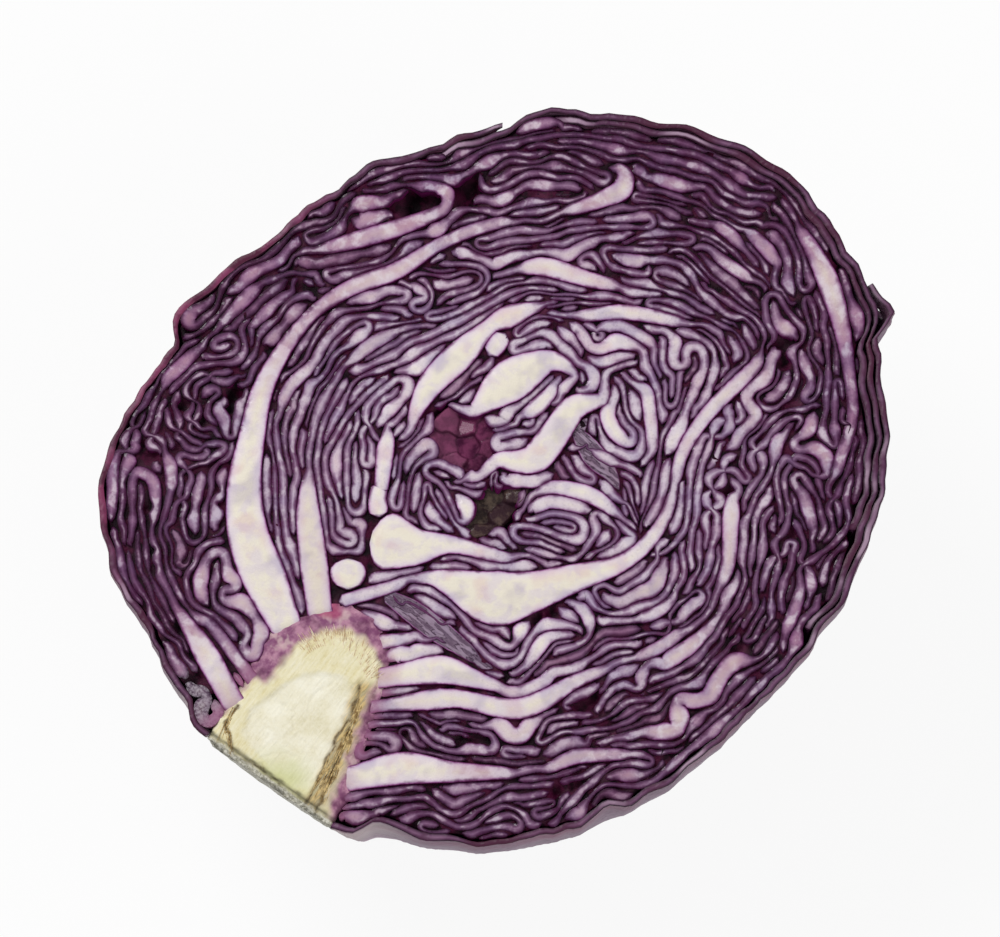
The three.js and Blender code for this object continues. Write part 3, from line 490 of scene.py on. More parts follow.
# Folds that are too small to be solids of their own.
SMALL_FOLDS = (
    ((-55, 21), (-51, 21.8), (-48.4, 25), (-50.4, 27.2), (-53, 24.6)),
    ((-46.9, 29), (-43.8, 31.5), (-41.4, 34.8), (-38, 37.4)),
    ((-24.8, 1.6), (-24.6, 6.6), (-22.6, 10.8), (-21, 14.6)),
    ((31.4, 18.4), (32.2, 14.6), (33.7, 12.2), (34.9, 15), (34.8, 19)),
    ((-13.6, -2.2), (-13.4, -5.6), (-16, -7.6), (-12.4, -8.9)),
    ((-2, 57), (-1.4, 54.9), (3, 56.6), (9, 57.6), (15, 56.4), (19, 57.2)),
    ((-4.6, 44.3), (1, 45), (7, 46.2), (12.4, 46.2), (18, 48), (24, 47.6), (30, 49.2)),
    ((-9.4, 40.6), (-4, 41.6), (-1, 38.4), (-4, 35.4), (-8, 33.4)),
    ((-15, 36.6), (-11.6, 35.6), (-12.6, 32.4), (-17, 34.3)),
    ((60.5, 36.4), (61.8, 31), (62.6, 25), (63.2, 19), (62.4, 13.6), (61.4, 8.6), (62.4, 3.6)),
    ((-19, -24.8), (-15.4, -25.8), (-11.4, -28.4), (-7.4, -30.6)),
    ((-21.8, -2, 3.2), (-22.3, -5, 3.4), (-22, -8.5, 4.2)),
    ((12.6, 18.4, 1.2), (10.4, 15.6, 2.6), (7.6, 12.6, 3.2), (4.4, 11, 1.6), (2.2, 10, 1.1)),
    ((-12, 1.6, 1.2), (-8, 0.2, 1.6), (-5, -1.8, 1.9), (-2.6, -2.4, 2), (-1.2, -0.2, 1.8)),
    ((-1.2, 23, 3.2), (0.4, 25.2, 3.8), (2, 27.4, 3.2)),
    ((-18, 16.2), (-21, 16.6), (-24, 14), (-24, 10.4), (-22, 7.6), (-19, 7.2)),
    ((12.5, 28, 2.2), (14.2, 26.6, 2.4), (16, 25, 1.6)),
    ((45, 11.4, 1.2), (44.6, 8.8, 2.4), (41.6, 7.6, 1.6), (38.6, 3, 1.3), (37, -1.4, 1.2), (36.6, -6, 1.2),
     (37, -9, 1), (35.6, -12, 1), (32.6, -13.4, 1), (30.8, -16.4, 1)),
    ((60, 12, 0.8), (55.4, 11.2, 1.3), (51.4, 10.6, 1.8), (49, 8.6, 1.3), (48.9, 5.6, 1), (50.4, 1.6, 1),
     (50, -1.6, 1.2), (47.4, -3, 1.8), (45.8, -4.2, 1.6)),
    ((63, -0.6, 0.9), (60, 0.2, 1.4), (57.8, 2.6, 2), (55.8, 3.2, 1.4), (54.2, 0.2, 1), (54, -4, 1),
     (55, -7.4, 1.2)),
    ((53.2, -5.4, 1.2), (51.6, -5, 2.4), (50, -8.4, 1.5), (49.2, -13, 1.1), (48.8, -18, 1)),
    ((57, -9, 1), (58.8, -13, 1.3), (59, -18, 2), (60, -22, 2.4), (58, -27.6, 1.5)),
    ((67, 13, 1.2), (67.6, 6, 1.5), (66, 0, 1.7), (64, -5, 1.5), (62.4, -11, 1)),
    ((56.4, -11.4, 0.9), (54.4, -14.6, 2), (52, -18.4, 1.6), (49.6, -22, 1)),
    ((46.6, -1.4, 0.8), (43.2, 0.6, 1.2), (42, -2.2, 1.2), (41.6, -6.4, 1), (40.6, -11, 0.9)),
    ((-64.4, 5), (-65.4, 8.6, 1.5), (-64.6, 13), (-63.8, 15.6)),
    ((-63, 14.5), (-61, 17.4), (-55, 20.5, 1.7), (-51, 21.6), (-48.6, 23.4, 1.6), (-48.2, 28)),
    ((-61, 12.5), (-60, 9.6), (-57, 7, 1.6), (-51.8, 4.5), (-54, 3.4), (-58, 4), (-59.3, 2.5),
     (-58.5, -1), (-59, -6)),
    ((-49, 19.5), (-53, 18, 1.5), (-56, 17), (-57.5, 11), (-56, 8.5), (-53.5, 7.3)),
    ((-72.5, -8, 2.2), (-72.5, 2, 2.4), (-70.2, 4), (-68.4, 6.4), (-68.4, 10), (-67, 13), (-65, 17.5),
     (-61.5, 23)))
# Leaf surfaces that the cut runs along, so that they show as broad dull patches.
FLAT_SHEETS = (
    ((15, 9, 1.6), (16.8, 6.4, 3.6), (19, 3.2, 4.6), (21.4, 0.6, 3.4), (23, -1.6, 1.6)),
    ((-21, -23.5, 2.4), (-16, -26.6, 4.4), (-11, -30.4, 4.6), (-6, -34, 3.4), (-3, -36.4, 2)))


class FoldKind(Enum):
    """How a fold came about, with how pale it is and how far below the cut face it ends, in mm."""

    LEAF = (0.55, 0.02)
    SHEET = (-1.8, 0.3)
    FIRST = (0.05, 0.08)
    SECOND = (-0.25, 0.22)
    SLIVER = (-1.0, 0.5)

    @property
    def tone(self) -> float:
        """How pale the fold is; the finish tells sheets by their value below -1.5, and darkens the low-lying
        folds of values near -1 as painted crevice shade.
        """
        return self.value[0]

    @property
    def drop(self) -> float:
        """How far below the cut face it ends, in mm."""
        return self.value[1]

    @staticmethod
    def of(name: str) -> "FoldKind":
        """Kind that a fold's name tells."""
        for kind in (FoldKind.SHEET, FoldKind.FIRST, FoldKind.SECOND, FoldKind.SLIVER):
            if name.startswith(kind.name.lower()):
                return kind
        return FoldKind.LEAF


@dataclass
class Folds:
    """All the folds on the cut face, point after point."""

    points: np.ndarray
    half: np.ndarray
    fold: np.ndarray
    growth: np.ndarray
    stout: np.ndarray
    names: list[str]
    rib_half: float = 1.15

    @property
    def held(self) -> np.ndarray:
        """Points of thick ribs, which don't crinkle."""
        return self.half > self.rib_half

    def lines(self) -> dict[str, np.ndarray]:
        """Each fold's rows of x, y, width and stoutness."""
        rows = np.column_stack([self.points, 2 * self.half, self.stout])
        return {name: rows[self.fold == number] for number, name in enumerate(self.names)}


def strip_line(loop: np.ndarray) -> np.ndarray:
    """Middle line and width of a thin closed loop, from its opposite corners."""
    size = len(loop)
    steps = np.arange(size // 2)
    best = None
    for start in range(size):
        one = loop[(start - steps) % size]
        other = loop[(start + 1 + steps) % size]
        total = lengths(one - other).sum()
        if best is None or total < best[0]:
            best = (total, one, other)
    _, one, other = best
    return np.column_stack([(one + other) / 2, lengths(one - other)])


def top_loop(piece: bpy.types.Object, head: Head) -> np.ndarray:
    """Outline of a solid's flat top face, in the head's own frame in mm."""
    mesh = piece.data
    corners = np.empty(len(mesh.vertices) * 3)
    mesh.vertices.foreach_get("co", corners)
    corners = corners.reshape(-1, 3) / MM
    corners[:, :2] -= head.shift
    mesh.calc_loop_triangles()
    faces = np.empty(len(mesh.loop_triangles) * 3, int)
    mesh.loop_triangles.foreach_get("vertices", faces)
    faces = faces.reshape(-1, 3)
    faces = faces[(corners[faces][..., 2] > head.cut_height - 0.02).all(1)]
    _, first, merged = np.unique(np.round(corners[:, :2], 3), axis=0, return_index=True, return_inverse=True)
    merged = merged.reshape(-1)
    follow = {}
    edges = {(int(merged[a]), int(merged[b])) for face in faces for a, b in zip(face, np.roll(face, -1))}
    for a, b in edges:
        if (b, a) not in edges:
            follow[a] = b
    loops = []
    while follow:
        start = next(iter(follow))
        loop = [start]
        while loop[-1] in follow:
            loop.append(follow.pop(loop[-1]))
        loops.append(loop[:-1])
    longest = max(loops, key=len)
    return corners[first[longest], :2]


@dataclass
class FoldGrowth:
    """Fills the cut face with folds and lets them lengthen and crinkle against each other.

    Attributes:
        pitch: distance that stout folds keep between their middle lines, in mm.
        step: distance between points of a fold, in mm.
        link_pull, push: share of a stretch or of an overlap that one round takes back.
        bends: stiffness against bending over one and over two points.
        keep_off: distance that folds keep from what doesn't move, in mm.
        stride: step of a new fold while it is laid, in mm.
        longest: most steps of a new fold to each side.
    """

    head: Head
    pitch: float = 1.58
    step: float = 0.65
    link_pull: float = 0.12
    push: float = 0.25
    bends: tuple = ((1, 0.08), (2, 0.015))
    keep_off: float = 0.72
    stride: float = 0.5
    longest: int = 700

    def room_at_edge(self, points: np.ndarray) -> np.ndarray:
        """Distance from points to the inside of the outermost leaves."""
        theta, share = self.head.polar(points)
        return self.head.edge_radius(theta) - share * self.head.outline_radius(theta) - inner_inset(theta)

    def core_discs(self) -> np.ndarray:
        """Points spread over the core's top face."""
        rows = spaced_rows(np.array(self.head.core_edges), 60)
        share = np.linspace(0, 1, 24)[None, :, None]
        return (rows[:, None, :2] * (1 - share) + rows[:, None, 2:] * share).reshape(-1, 2)

    def still_room(self, folds: Folds | None = None) -> Clearance:
        """Room left by everything that doesn't move."""
        room = Clearance()
        if folds is not None:
            centres, radii = rib_discs(folds)
            room.add(centres, radii)
        core = self.core_discs()
        room.add(core, np.full(len(core), 0.2))
        butt = np.linspace(*np.array(BUTT_LINE), 50)
        past = (butt[None] + PAST_BUTT * np.array([0.6, 1.6, 2.6, 3.6])[:, None, None]).reshape(-1, 2)
        room.add(past, np.full(len(past), 0.6))
        hollows = np.array(HOLLOWS)
        room.add(hollows[:, :2], hollows[:, 2] - 0.3)
        np.minimum(room.room, self.room_at_edge(room.nodes()), out=room.room)
        return room

    def headings(self, lines: dict[str, np.ndarray], soft: float, ring_pull: float) -> tuple:
        """Direction in which folds run at every place, from the lines that are there already.

        Args:
            lines: rows of x, y and width for each fold.
            soft: how much near lines count above far ones; smaller is more.
            ring_pull: how strongly folds follow rings round the heart where nothing is near.

        Returns:
            The coarse grid and its double-angle vectors.
        """
        grid = Clearance(step=0.5)
        reach = 6.0
        flow = np.zeros(grid.room.shape + (2,))
        for rows in lines.values():
            line = spaced(rows[:, :2], 0.8)
            if len(line) < 3:
                continue
            along = np.gradient(line, axis=0)
            angle = 2 * np.arctan2(along[:, 1], along[:, 0])
            for (x, y), turn in zip(line, angle):
                up, across = grid.window(x, y, reach)
                square = (grid.xs[None, across] - x) ** 2 + (grid.ys[up, None] - y) ** 2
                weight = np.maximum(1 - square / reach ** 2, 0) / (square + soft) ** 1.5
                flow[up, across, 0] += weight * math.cos(turn)
                flow[up, across, 1] += weight * math.sin(turn)
        share = self.head.polar(grid.nodes())[1]
        rise_up, rise_across = np.gradient(share)
        ring = 2 * np.arctan2(rise_across, -rise_up)
        flow[..., 0] += ring_pull * np.cos(ring)
        flow[..., 1] += ring_pull * np.sin(ring)
        return grid, flow / np.maximum(lengths(flow), 1e-9)[..., None]

    def fill(self, lines: dict[str, np.ndarray], pitch: float, stop: float, half: float, shortest: float,
             soft: float, ring_pull: float, join: float, seed: int) -> list[np.ndarray]:
        """Lay evenly spaced new folds into the free space.

        Args:
            lines: rows of x, y and width for each fold that is there.
            pitch: distance from a surface to the far side of a new fold.
            stop: share of the free distance at which a new fold ends.
            half: half thickness of a new fold.
            shortest: shortest fold that is kept, in mm.
            soft, ring_pull: see headings.
            join: how far apart two ends may be to be joined.
            seed: seed of the order in which folds start.

        Returns:
            Rows of x and y for each new fold.
        """
        rng = np.random.default_rng(seed)
        room = self.still_room()
        for rows in lines.values():
            even = spaced(rows, self.stride)
            room.add(even[:, :2], even[:, 2] / 2)
        room.room /= zone_factor(room.nodes().reshape(-1, 2), FINE_ZONES).reshape(room.room.shape)
        grid, heading = self.headings(lines, soft, ring_pull)
        lead = pitch - half
        jitter = rng.uniform(0, 0.3, room.room.shape)
        tried = np.zeros(room.room.shape, bool)
        made = []
        while True:
            score = np.where((room.room > lead * 0.8) & ~tried, np.abs(room.room - lead) + jitter, FAR)
            start = score.argmin()
            if score.flat[start] >= FAR:
                break
            j, i = divmod(start, len(room.xs))
            first = np.array([room.xs[i], room.ys[j]])
            ahead = self.walk(first, 1, room, grid, heading, stop * lead, pitch * 0.7)
            back = self.walk(first, -1, room, grid, heading, stop * lead, pitch * 0.7)
            line = np.array(back[::-1] + [first] + ahead)
            if len(line) * self.stride < shortest:
                tried[max(0, j - 1):j + 2, max(0, i - 1):i + 2] = True
                continue
            made.append(line)
            room.add(line, np.full(len(line), half), zone_factor(line, FINE_ZONES))
        return join_ends(made, join)

    def walk(self, first: np.ndarray, way: int, room: Clearance, grid: Clearance, heading: np.ndarray,
             stop: float, own: float) -> list[np.ndarray]:
        """Follow the headings from a point until there is no more room.

        Args:
            first: where to start.
            way: 1 along the heading there, -1 against it.
            room: how far away the nearest thing is.
            grid, heading: see headings.
            stop: room below which the fold ends.
            own: how near the fold may come to its own earlier points.

        Returns:
            The points after the first.
        """
        place = first.copy()
        before = None
        points = []
        for _ in range(self.longest):
            here = follow_heading(grid, heading, place, before)
            if here is None:
                break
            if before is None:
                here = here * way
            there = follow_heading(grid, heading, place + self.stride / 2 * here, here)
            if there is None:
                break
            place = place + self.stride * there
            before = there
            cell = room.cell(place, 1)
            if cell is None or blend(room.room, *cell) < stop:
                break
            if len(points) > 6 and (lengths(np.array(points[:-6]) - place) < own).any():
                break
            points.append(place.copy())
        return points

    def chain(self, lines: dict[str, np.ndarray], fills: list[np.ndarray], leaf_growth: float,
              fill_growth: float, seed: int, kind: FoldKind) -> Folds:
        """Put leaves and new folds together as one list of evenly spaced points."""
        rng = np.random.default_rng(seed)
        points, half, fold, growth, stout, names = [], [], [], [], [], []
        for name, rows in lines.items():
            thick = rows[:, 2] > 2 * Folds.rib_half
            even = spaced(rows, self.step / np.where(thick, 1.0, leaf_growth).mean())
            thick = even[:, 2] > 2 * Folds.rib_half
            points.append(even[:, :2])
            half.append(even[:, 2] / 2)
            growth.append(np.where(thick, 1.0, leaf_growth))
            stout.append(even[:, 3])
            fold.append(np.full(len(even), len(names)))
            names.append(name)
        for number, line in enumerate(fills):
            middle = line[len(line) // 2][None]
            calm = zone_factor(middle, CALM_ZONES)[0] * (0.4 if self.head.polar(middle)[1][0] > 0.9 else 1)
            swell = 1 + (fill_growth - 1) * calm * rng.uniform(0.85, 1.15)
            even = spaced(line, self.step / swell)
            if len(even) < SHORTEST_FOLD:
                continue
            points.append(even)
            half.append(np.full(len(even), 0.6))
            growth.append(np.full(len(even), swell))
            if kind is FoldKind.SLIVER:
                stout.append(np.full(len(even), 0.7))
            else:
                stout.append(np.clip(np.exp(0.6 * waves(rng, even, 8.0) + rng.normal(0, 0.38)), 0.45, 1.9))
            fold.append(np.full(len(even), len(names)))
            names.append(f"{kind.name.lower()}_{number}_{seed}")
        return Folds(np.vstack(points), np.concatenate(half), np.concatenate(fold),
                     np.concatenate(growth), np.concatenate(stout), names)

    def turn_back(self, folds: Folds, solid: set[str], widest: float = 2.5,
                  nearest: float = 0.9) -> dict[str, np.ndarray]:
        """Join the ends of folds that lie side by side with a hairpin, as a crinkled leaf does.

        Args:
            folds: the folds, which stay as they are.
            solid: names of folds that stay single.
            widest, nearest: how far apart two ends may be.

        Returns:
            Rows of x, y and width by name, with joined folds under the first one's name.
        """
        lines = folds.lines()
        names = [name for name in lines if len(lines[name]) >= SHORTEST_FOLD]
        place, along, whose, at_end = [], [], [], []
        for name in names:
            rows = lines[name]
            for end in (False, True):
                tip, inner = (rows[-1], rows[-4]) if end else (rows[0], rows[3])
                if tip[2] > 2 * Folds.rib_half:
                    continue
                place.append(tip[:2])
                along.append((tip[:2] - inner[:2]) / max(math.hypot(*(tip[:2] - inner[:2])), 1e-9))
                whose.append(name)
                at_end.append(end)
        place, along = np.array(place), np.array(along)
        between = place[None] - place[:, None]
        away = lengths(between)
        same_way = along @ along.T
        beside = np.abs((between * along[:, None]).sum(2)) / np.maximum(away, 1e-9)
        order = np.argsort(away, axis=None)
        used, joins = set(), {}
        for flat in order:
            a, b = divmod(int(flat), len(place))
            if away[a, b] > widest:
                break
            if a >= b or away[a, b] < nearest or same_way[a, b] < 0.35 or beside[a, b] > 0.75:
                continue
            if whose[a] == whose[b] or a in used or b in used or {whose[a], whose[b]} & solid:
                continue
            top = (place[a] + place[b]) / 2 + (along[a] + along[b]) / 2 * away[a, b] * 0.5
            others = ~np.isin(folds.fold, [folds.names.index(whose[a]), folds.names.index(whose[b])])
            if lengths(folds.points[others] - top).min() < 0.55:
                continue
            used |= {a, b}
            joins[a] = (b, top)
            joins[b] = (a, top)
        key = {(whose[number], at_end[number]): number for number in range(len(whose))}
        return self.threaded(lines, key, joins)

    @staticmethod
    def threaded(lines: dict[str, np.ndarray], key: dict, joins: dict) -> dict[str, np.ndarray]:
        """Follow the joins from fold to fold."""
        done = set()
        threaded = {}
        for name in lines:
            if name in done:
                continue
            rows, members = lines[name], [name]
            done.add(name)
            for forward in (True, False):
                here = key.get((name, forward))
                while here is not None and here in joins:
                    there, top = joins[here]
                    other = next(who for who, number in key.items() if number == there)
                    if other[0] in done:
                        break
                    done.add(other[0])
                    members.append(other[0])
                    added = lines[other[0]][::-1] if other[1] else lines[other[0]]
                    bend = np.r_[top, 1.2, (rows[-1 if forward else 0, 3] + added[0, 3]) / 2][None]
                    rows = np.vstack([rows, bend, added]) if forward else np.vstack([added[::-1], bend, rows])
                    here = key.get((other[0], not other[1]))
            first = min(members, key=list(lines).index)
            threaded[first] = rows
        return {name: threaded[name] for name in lines if name in threaded}

    def crinkle(self, folds: Folds, leaves: int, rounds: int, hold: float, seed: int) -> Clearance:
        """Let the folds lengthen and push each other aside.

        Args:
            folds: changed in place.
            leaves: how many of the folds are solid leaves, which keep near their place.
            rounds: number of steps.
            hold: pull of a leaf point towards its place.
            seed: seed of the first small waves.

        Returns:
            The room left by everything that doesn't move.
        """
        rng = np.random.default_rng(seed)
        points, owner, held = folds.points, folds.fold, folds.held
        total = len(points)
        link = np.flatnonzero(owner[1:] == owner[:-1])
        start_length = lengths(points[link + 1] - points[link])
        end_length = start_length * 0.5 * (folds.growth[link] + folds.growth[link + 1])
        numbers = np.arange(total)
        bends = []
        for far, stiff in self.bends:
            inner = numbers[far:total - far]
            inner = inner[(owner[inner - far] == owner[inner]) & (owner[inner + far] == owner[inner])]
            bends.append((far, inner, stiff))
        room = self.still_room(folds)
        radius = self.pitch / 2 * zone_factor(points, FINE_ZONES) * folds.stout
        keep_off = self.keep_off * folds.stout
        home = points.copy()
        is_leaf = owner < leaves
        free = (~held).astype(float)[:, None]
        points = points + 0.12 * free * np.column_stack([waves(rng, points, 3.0), waves(rng, points, 3.0)])
        for step in range(rounds):
            grown = min(1.0, step / (rounds * 0.75))
            rest = start_length + (end_length - start_length) * grown
            if step % 8 == 0:
                one, other = near_pairs(points, 2.8)
                own_next = (owner[one] == owner[other]) & (np.abs(one - other) <= 3)
                apart = ~own_next & ~held[one] & ~held[other]
                one, other = one[apart], other[apart]
            force = np.zeros_like(points)
            between = points[link + 1] - points[link]
            reach = np.maximum(lengths(between), 1e-6)
            pull = (self.link_pull * (reach - rest) / reach)[:, None] * between
            gather(force, link, pull, link + 1)
            for far, inner, stiff in bends:
                bow = stiff * (points[inner - far] - 2 * points[inner] + points[inner + far])
                gather(force, inner, bow)
                gather(force, inner - far, -0.5 * bow)
                gather(force, inner + far, -0.5 * bow)
            between = points[one] - points[other]
            reach = lengths(between)
            wanted = radius[one] + radius[other]
            close = np.flatnonzero(reach < wanted)
            strength = self.push * (wanted[close] - reach[close]) / np.maximum(reach[close], 1e-3)
            gather(force, one[close], strength[:, None] * between[close], other[close])
            left = room.at(points)
            near = np.flatnonzero((left < keep_off) & ~held)
            force[near] += 0.5 * (keep_off - left)[near, None] * room.uphill(points[near])
            force[is_leaf] += hold * (home - points)[is_leaf]
            move = force * free
            size = lengths(move)
            points = points + move * np.minimum(1, 0.12 / np.maximum(size, 1e-9))[:, None]
        folds.points = points
        return room


def gather(total: np.ndarray, index: np.ndarray, value: np.ndarray, other: np.ndarray | None = None) -> None:
    """Add plane vectors to the rows they belong to, and take them from the other rows."""
    for k in (0, 1):
        total[:, k] += np.bincount(index, value[:, k], len(total))
        if other is not None:
            total[:, k] -= np.bincount(other, value[:, k], len(total))


def spaced_rows(rows: np.ndarray, count: int) -> np.ndarray:
    """Rows at even steps between the given ones, whatever their columns mean."""
    at = np.linspace(0, len(rows) - 1, count)
    return np.column_stack([np.interp(at, np.arange(len(rows)), column) for column in rows.T])


def follow_heading(grid: Clearance, heading: np.ndarray, place: np.ndarray,
                   before: np.ndarray | None) -> np.ndarray | None:
    """Unit heading at a point, on the side of the one before it; None outside the grid."""
    cell = grid.cell(place, 0)
    if cell is None:
        return None
    double = blend(heading, *cell)
    angle = 0.5 * math.atan2(double[1], double[0])
    here = np.array([math.cos(angle), math.sin(angle)])
    if before is not None and here @ before < 0:
        here = -here
    return here


def join_ends(lines: list[np.ndarray], reach: float, facing: float = 0.6) -> list[np.ndarray]:
    """Join lines whose ends point at each other within reach."""
    while True:
        owner, side, place, along = [], [], [], []
        for number, line in enumerate(lines):
            for at_end in (False, True):
                outwards = line if at_end else line[::-1]
                near, inner = outwards[-1], outwards[-min(5, len(line))]
                owner.append(number)
                side.append(at_end)
                place.append(near)
                along.append((near - inner) / max(math.hypot(*(near - inner)), 1e-9))
        owner, place, along = np.array(owner), np.array(place), np.array(along)
        between = place[None] - place[:, None]
        away = lengths(between)
        meet = -(along @ along.T)
        towards = (between * along[:, None]).sum(2) / np.maximum(away, 1e-9)
        fits = (away < reach) & (owner[:, None] != owner[None]) & (meet > facing)
        fits &= ((towards > 0.5) & (towards.T > 0.5)) | (away < 0.8)
        if not fits.any():
            return lines
        cost = np.where(fits, away + 2 * (1 - meet), 99)
        used, pairs = set(), []
        for flat in np.argsort(cost, axis=None):
            a, b = divmod(int(flat), len(owner))
            if cost[a, b] > 50:
                break
            if owner[a] in used or owner[b] in used:
                continue
            used |= {owner[a], owner[b]}
            pairs.append((a, b))
        joined = []
        for a, b in pairs:
            one = lines[owner[a]] if side[a] else lines[owner[a]][::-1]
            other = lines[owner[b]][::-1] if side[b] else lines[owner[b]]
            joined.append(np.vstack([one, other]))
        lines = [line for number, line in enumerate(lines) if number not in used] + joined


def rib_discs(folds: Folds) -> tuple[np.ndarray, np.ndarray]:
    """Small discs across every thick rib, so that its sides and blunt ends keep their shape."""
    normal = sideways(folds)
    small = 0.55
    centres, radii = [], []
    for index in np.flatnonzero(folds.held):
        half = folds.half[index]
        across = np.linspace(-(half - small), half - small, max(2, int(half / 0.4)))
        centres.append(folds.points[index] + across[:, None] * normal[index])
        radii.append(np.full(len(across), small))
    return np.vstack(centres), np.concatenate(radii)


def sideways(folds: Folds) -> np.ndarray:
    """Unit vector to the left of each point along its fold."""
    numbers = np.arange(len(folds.points))
    before = np.maximum(numbers - 1, 0)
    after = np.minimum(numbers + 1, len(numbers) - 1)
    before = np.where(folds.fold[before] == folds.fold, before, numbers)
    after = np.where(folds.fold[after] == folds.fold, after, numbers)
    along = folds.points[after] - folds.points[before]
    along /= np.maximum(lengths(along), 1e-9)[:, None]
    return np.column_stack([-along[:, 1], along[:, 0]])


@dataclass
class Blades:
    """Thickness of every fold, taken from the room between it and its neighbours."""

    head: Head
    gap: float = 0.09
    crevice: float = 0.12
    outer_crevice: float = 1.15
    widest: float = 2.1
    thinnest: float = 0.2

    def stretch_tips(self, folds: Folds, room: Clearance, longest: int = 9, clear: float = 1.0) -> Folds:
        """Let the ends of thin folds run on until they nearly touch what lies ahead."""
        everything = folds.points.copy()
        owner = folds.fold.copy()
        held = folds.held
        lines = []
        for number in range(len(folds.names)):
            index = np.flatnonzero(folds.fold == number)
            points, half = folds.points[index], np.column_stack([folds.half[index], folds.stout[index]])
            for at_end in (False, True):
                if held[index[-1 if at_end else 0]] or len(points) < 4:
                    continue
                line = points if at_end else points[::-1]
                near = lengths(everything - line[-1]) < FAR
                others = everything[near & (owner != number)]
                others = np.vstack([others, line[:-5]])
                added = self.run_on(line, others, room, longest, clear)
                if len(added):
                    everything = np.vstack([everything, added])
                    owner = np.r_[owner, np.full(len(added), number)]
                    line = np.vstack([line, added])
                    grown = half if at_end else half[::-1]
                    grown = np.vstack([grown, np.repeat(grown[-1:], len(added), axis=0)])
                    points = line if at_end else line[::-1]
                    half = grown if at_end else grown[::-1]
            lines.append(np.column_stack([points, half]))
        rows = np.vstack(lines)
        fold = np.concatenate([np.full(len(line), number) for number, line in enumerate(lines)])
        return Folds(rows[:, :2], rows[:, 2], fold, np.ones(len(rows)), rows[:, 3], folds.names)

    @staticmethod
    def run_on(line: np.ndarray, others: np.ndarray, room: Clearance,
               longest: int, clear: float) -> np.ndarray:
        """Points that carry a line on towards the freest side."""
        along = line[-1] - line[-4]
        along = along / max(math.hypot(*along), 1e-9)
        place = line[-1]
        added = []
        for _ in range(longest):
            best = None
            for turn in (0, 14, -14, 28, -28, 42, -42):
                bend = math.radians(turn)
                ahead = np.array([along[0] * math.cos(bend) - along[1] * math.sin(bend),
                                  along[0] * math.sin(bend) + along[1] * math.cos(bend)])
                there = place + 0.6 * ahead
                free = lengths(others - there).min() if len(others) else FAR
                free = min(free, float(room.at(there[None])[0]) + 0.45)
                worth = free - abs(turn) * 0.004
                if free > clear and (best is None or worth > best[0]):
                    best = (worth, there, ahead)
            if best is None:
                break
            _, place, along = best
            added.append(place)
        return np.array(added).reshape(-1, 2)

    def thickness(self, folds: Folds, room: Clearance) -> tuple[np.ndarray, np.ndarray]:
        """Thickness to the left and to the right of each point, and the sideways vectors."""
        normal = sideways(folds)
        radius = np.full((len(folds.points), 2), FAR)
        one, other = near_pairs(folds.points, 3.4)
        apart = ~((folds.fold[one] == folds.fold[other]) & (np.abs(one - other) <= 1))
        one, other = one[apart], other[apart]
        for a, b in ((one, other), (other, one)):
            between = folds.points[b] - folds.points[a]
            across = (between * normal[a]).sum(1)
            share = folds.stout[a] / (folds.stout[a] + folds.stout[b])
            touch = share * (between ** 2).sum(1) / np.maximum(np.abs(across), 1e-6)
            for side, sign in ((0, 1), (1, -1)):
                there = across * sign > 0.05
                np.minimum.at(radius[:, side], a[there], touch[there])
        for side, sign in ((0, 1), (1, -1)):
            reach = np.full(len(folds.points), FAR)
            for out in np.arange(0.3, 2.0, 0.15):
                left = room.at(folds.points + sign * out * normal)
                reach = np.where((reach == FAR) & (left < self.gap * 0.6), out, reach)
            radius[:, side] = np.minimum(radius[:, side], reach)
        most = np.maximum(self.widest, folds.half * 1.15)[:, None]
        rng = np.random.default_rng(21)
        open_side = [waves(rng, folds.points, 5.0) - 0.1 for _ in (0, 1)]
        share = self.head.polar(folds.points)[1]
        wide = self.crevice + (self.outer_crevice - self.crevice) * smoothstep(share, 0.45, 0.75)
        crevice = self.gap / 2 + wide[:, None] * np.maximum(np.column_stack(open_side), 0)
        half = np.clip(radius - np.minimum(crevice, 0.55 * radius), self.thinnest, most)
        return np.where(folds.held[:, None], folds.half[:, None], half), normal

    def shaped(self, folds: Folds, room: Clearance) -> dict[str, np.ndarray]:
        """Each fold's smooth rows of x, y, left and right thickness, closer together where it bends."""
        half, _ = self.thickness(folds, room)
        rng = np.random.default_rng(33)
        shaped = {}
        for number, name in enumerate(folds.names):
            index = np.flatnonzero(folds.fold == number)
            if len(index) < SHORTEST_FOLD:
                continue
            sides = np.column_stack([evened(half[index, 0], 2), evened(half[index, 1], 2)])
            blunt = folds.held[index]
            for rows, is_blunt in ((sides, blunt[0]), (sides[::-1], blunt[-1])):
                cap = 0.8 if is_blunt else 1.7
                far = np.arange(len(rows)) * 0.62 / np.maximum(rows.mean(1), 0.3) / cap
                rows *= np.sqrt(np.clip(1 - (1 - np.minimum(far, 1)) ** 2, 0.04, 1))[:, None]
            fine = curve_through(np.column_stack([folds.points[index], sides]), 4)
            ripple = np.column_stack([waves(rng, fine[:, :2], 1.9), waves(rng, fine[:, :2], 1.9)])
            fine[:, 2:] += 0.07 * ripple * smoothstep(fine[:, 2:], 0.2, 0.6)
            fine[:, 2:] = np.maximum(fine[:, 2:], 0.08)
            shaped[name] = closer_at_bends(fine)
        return shaped


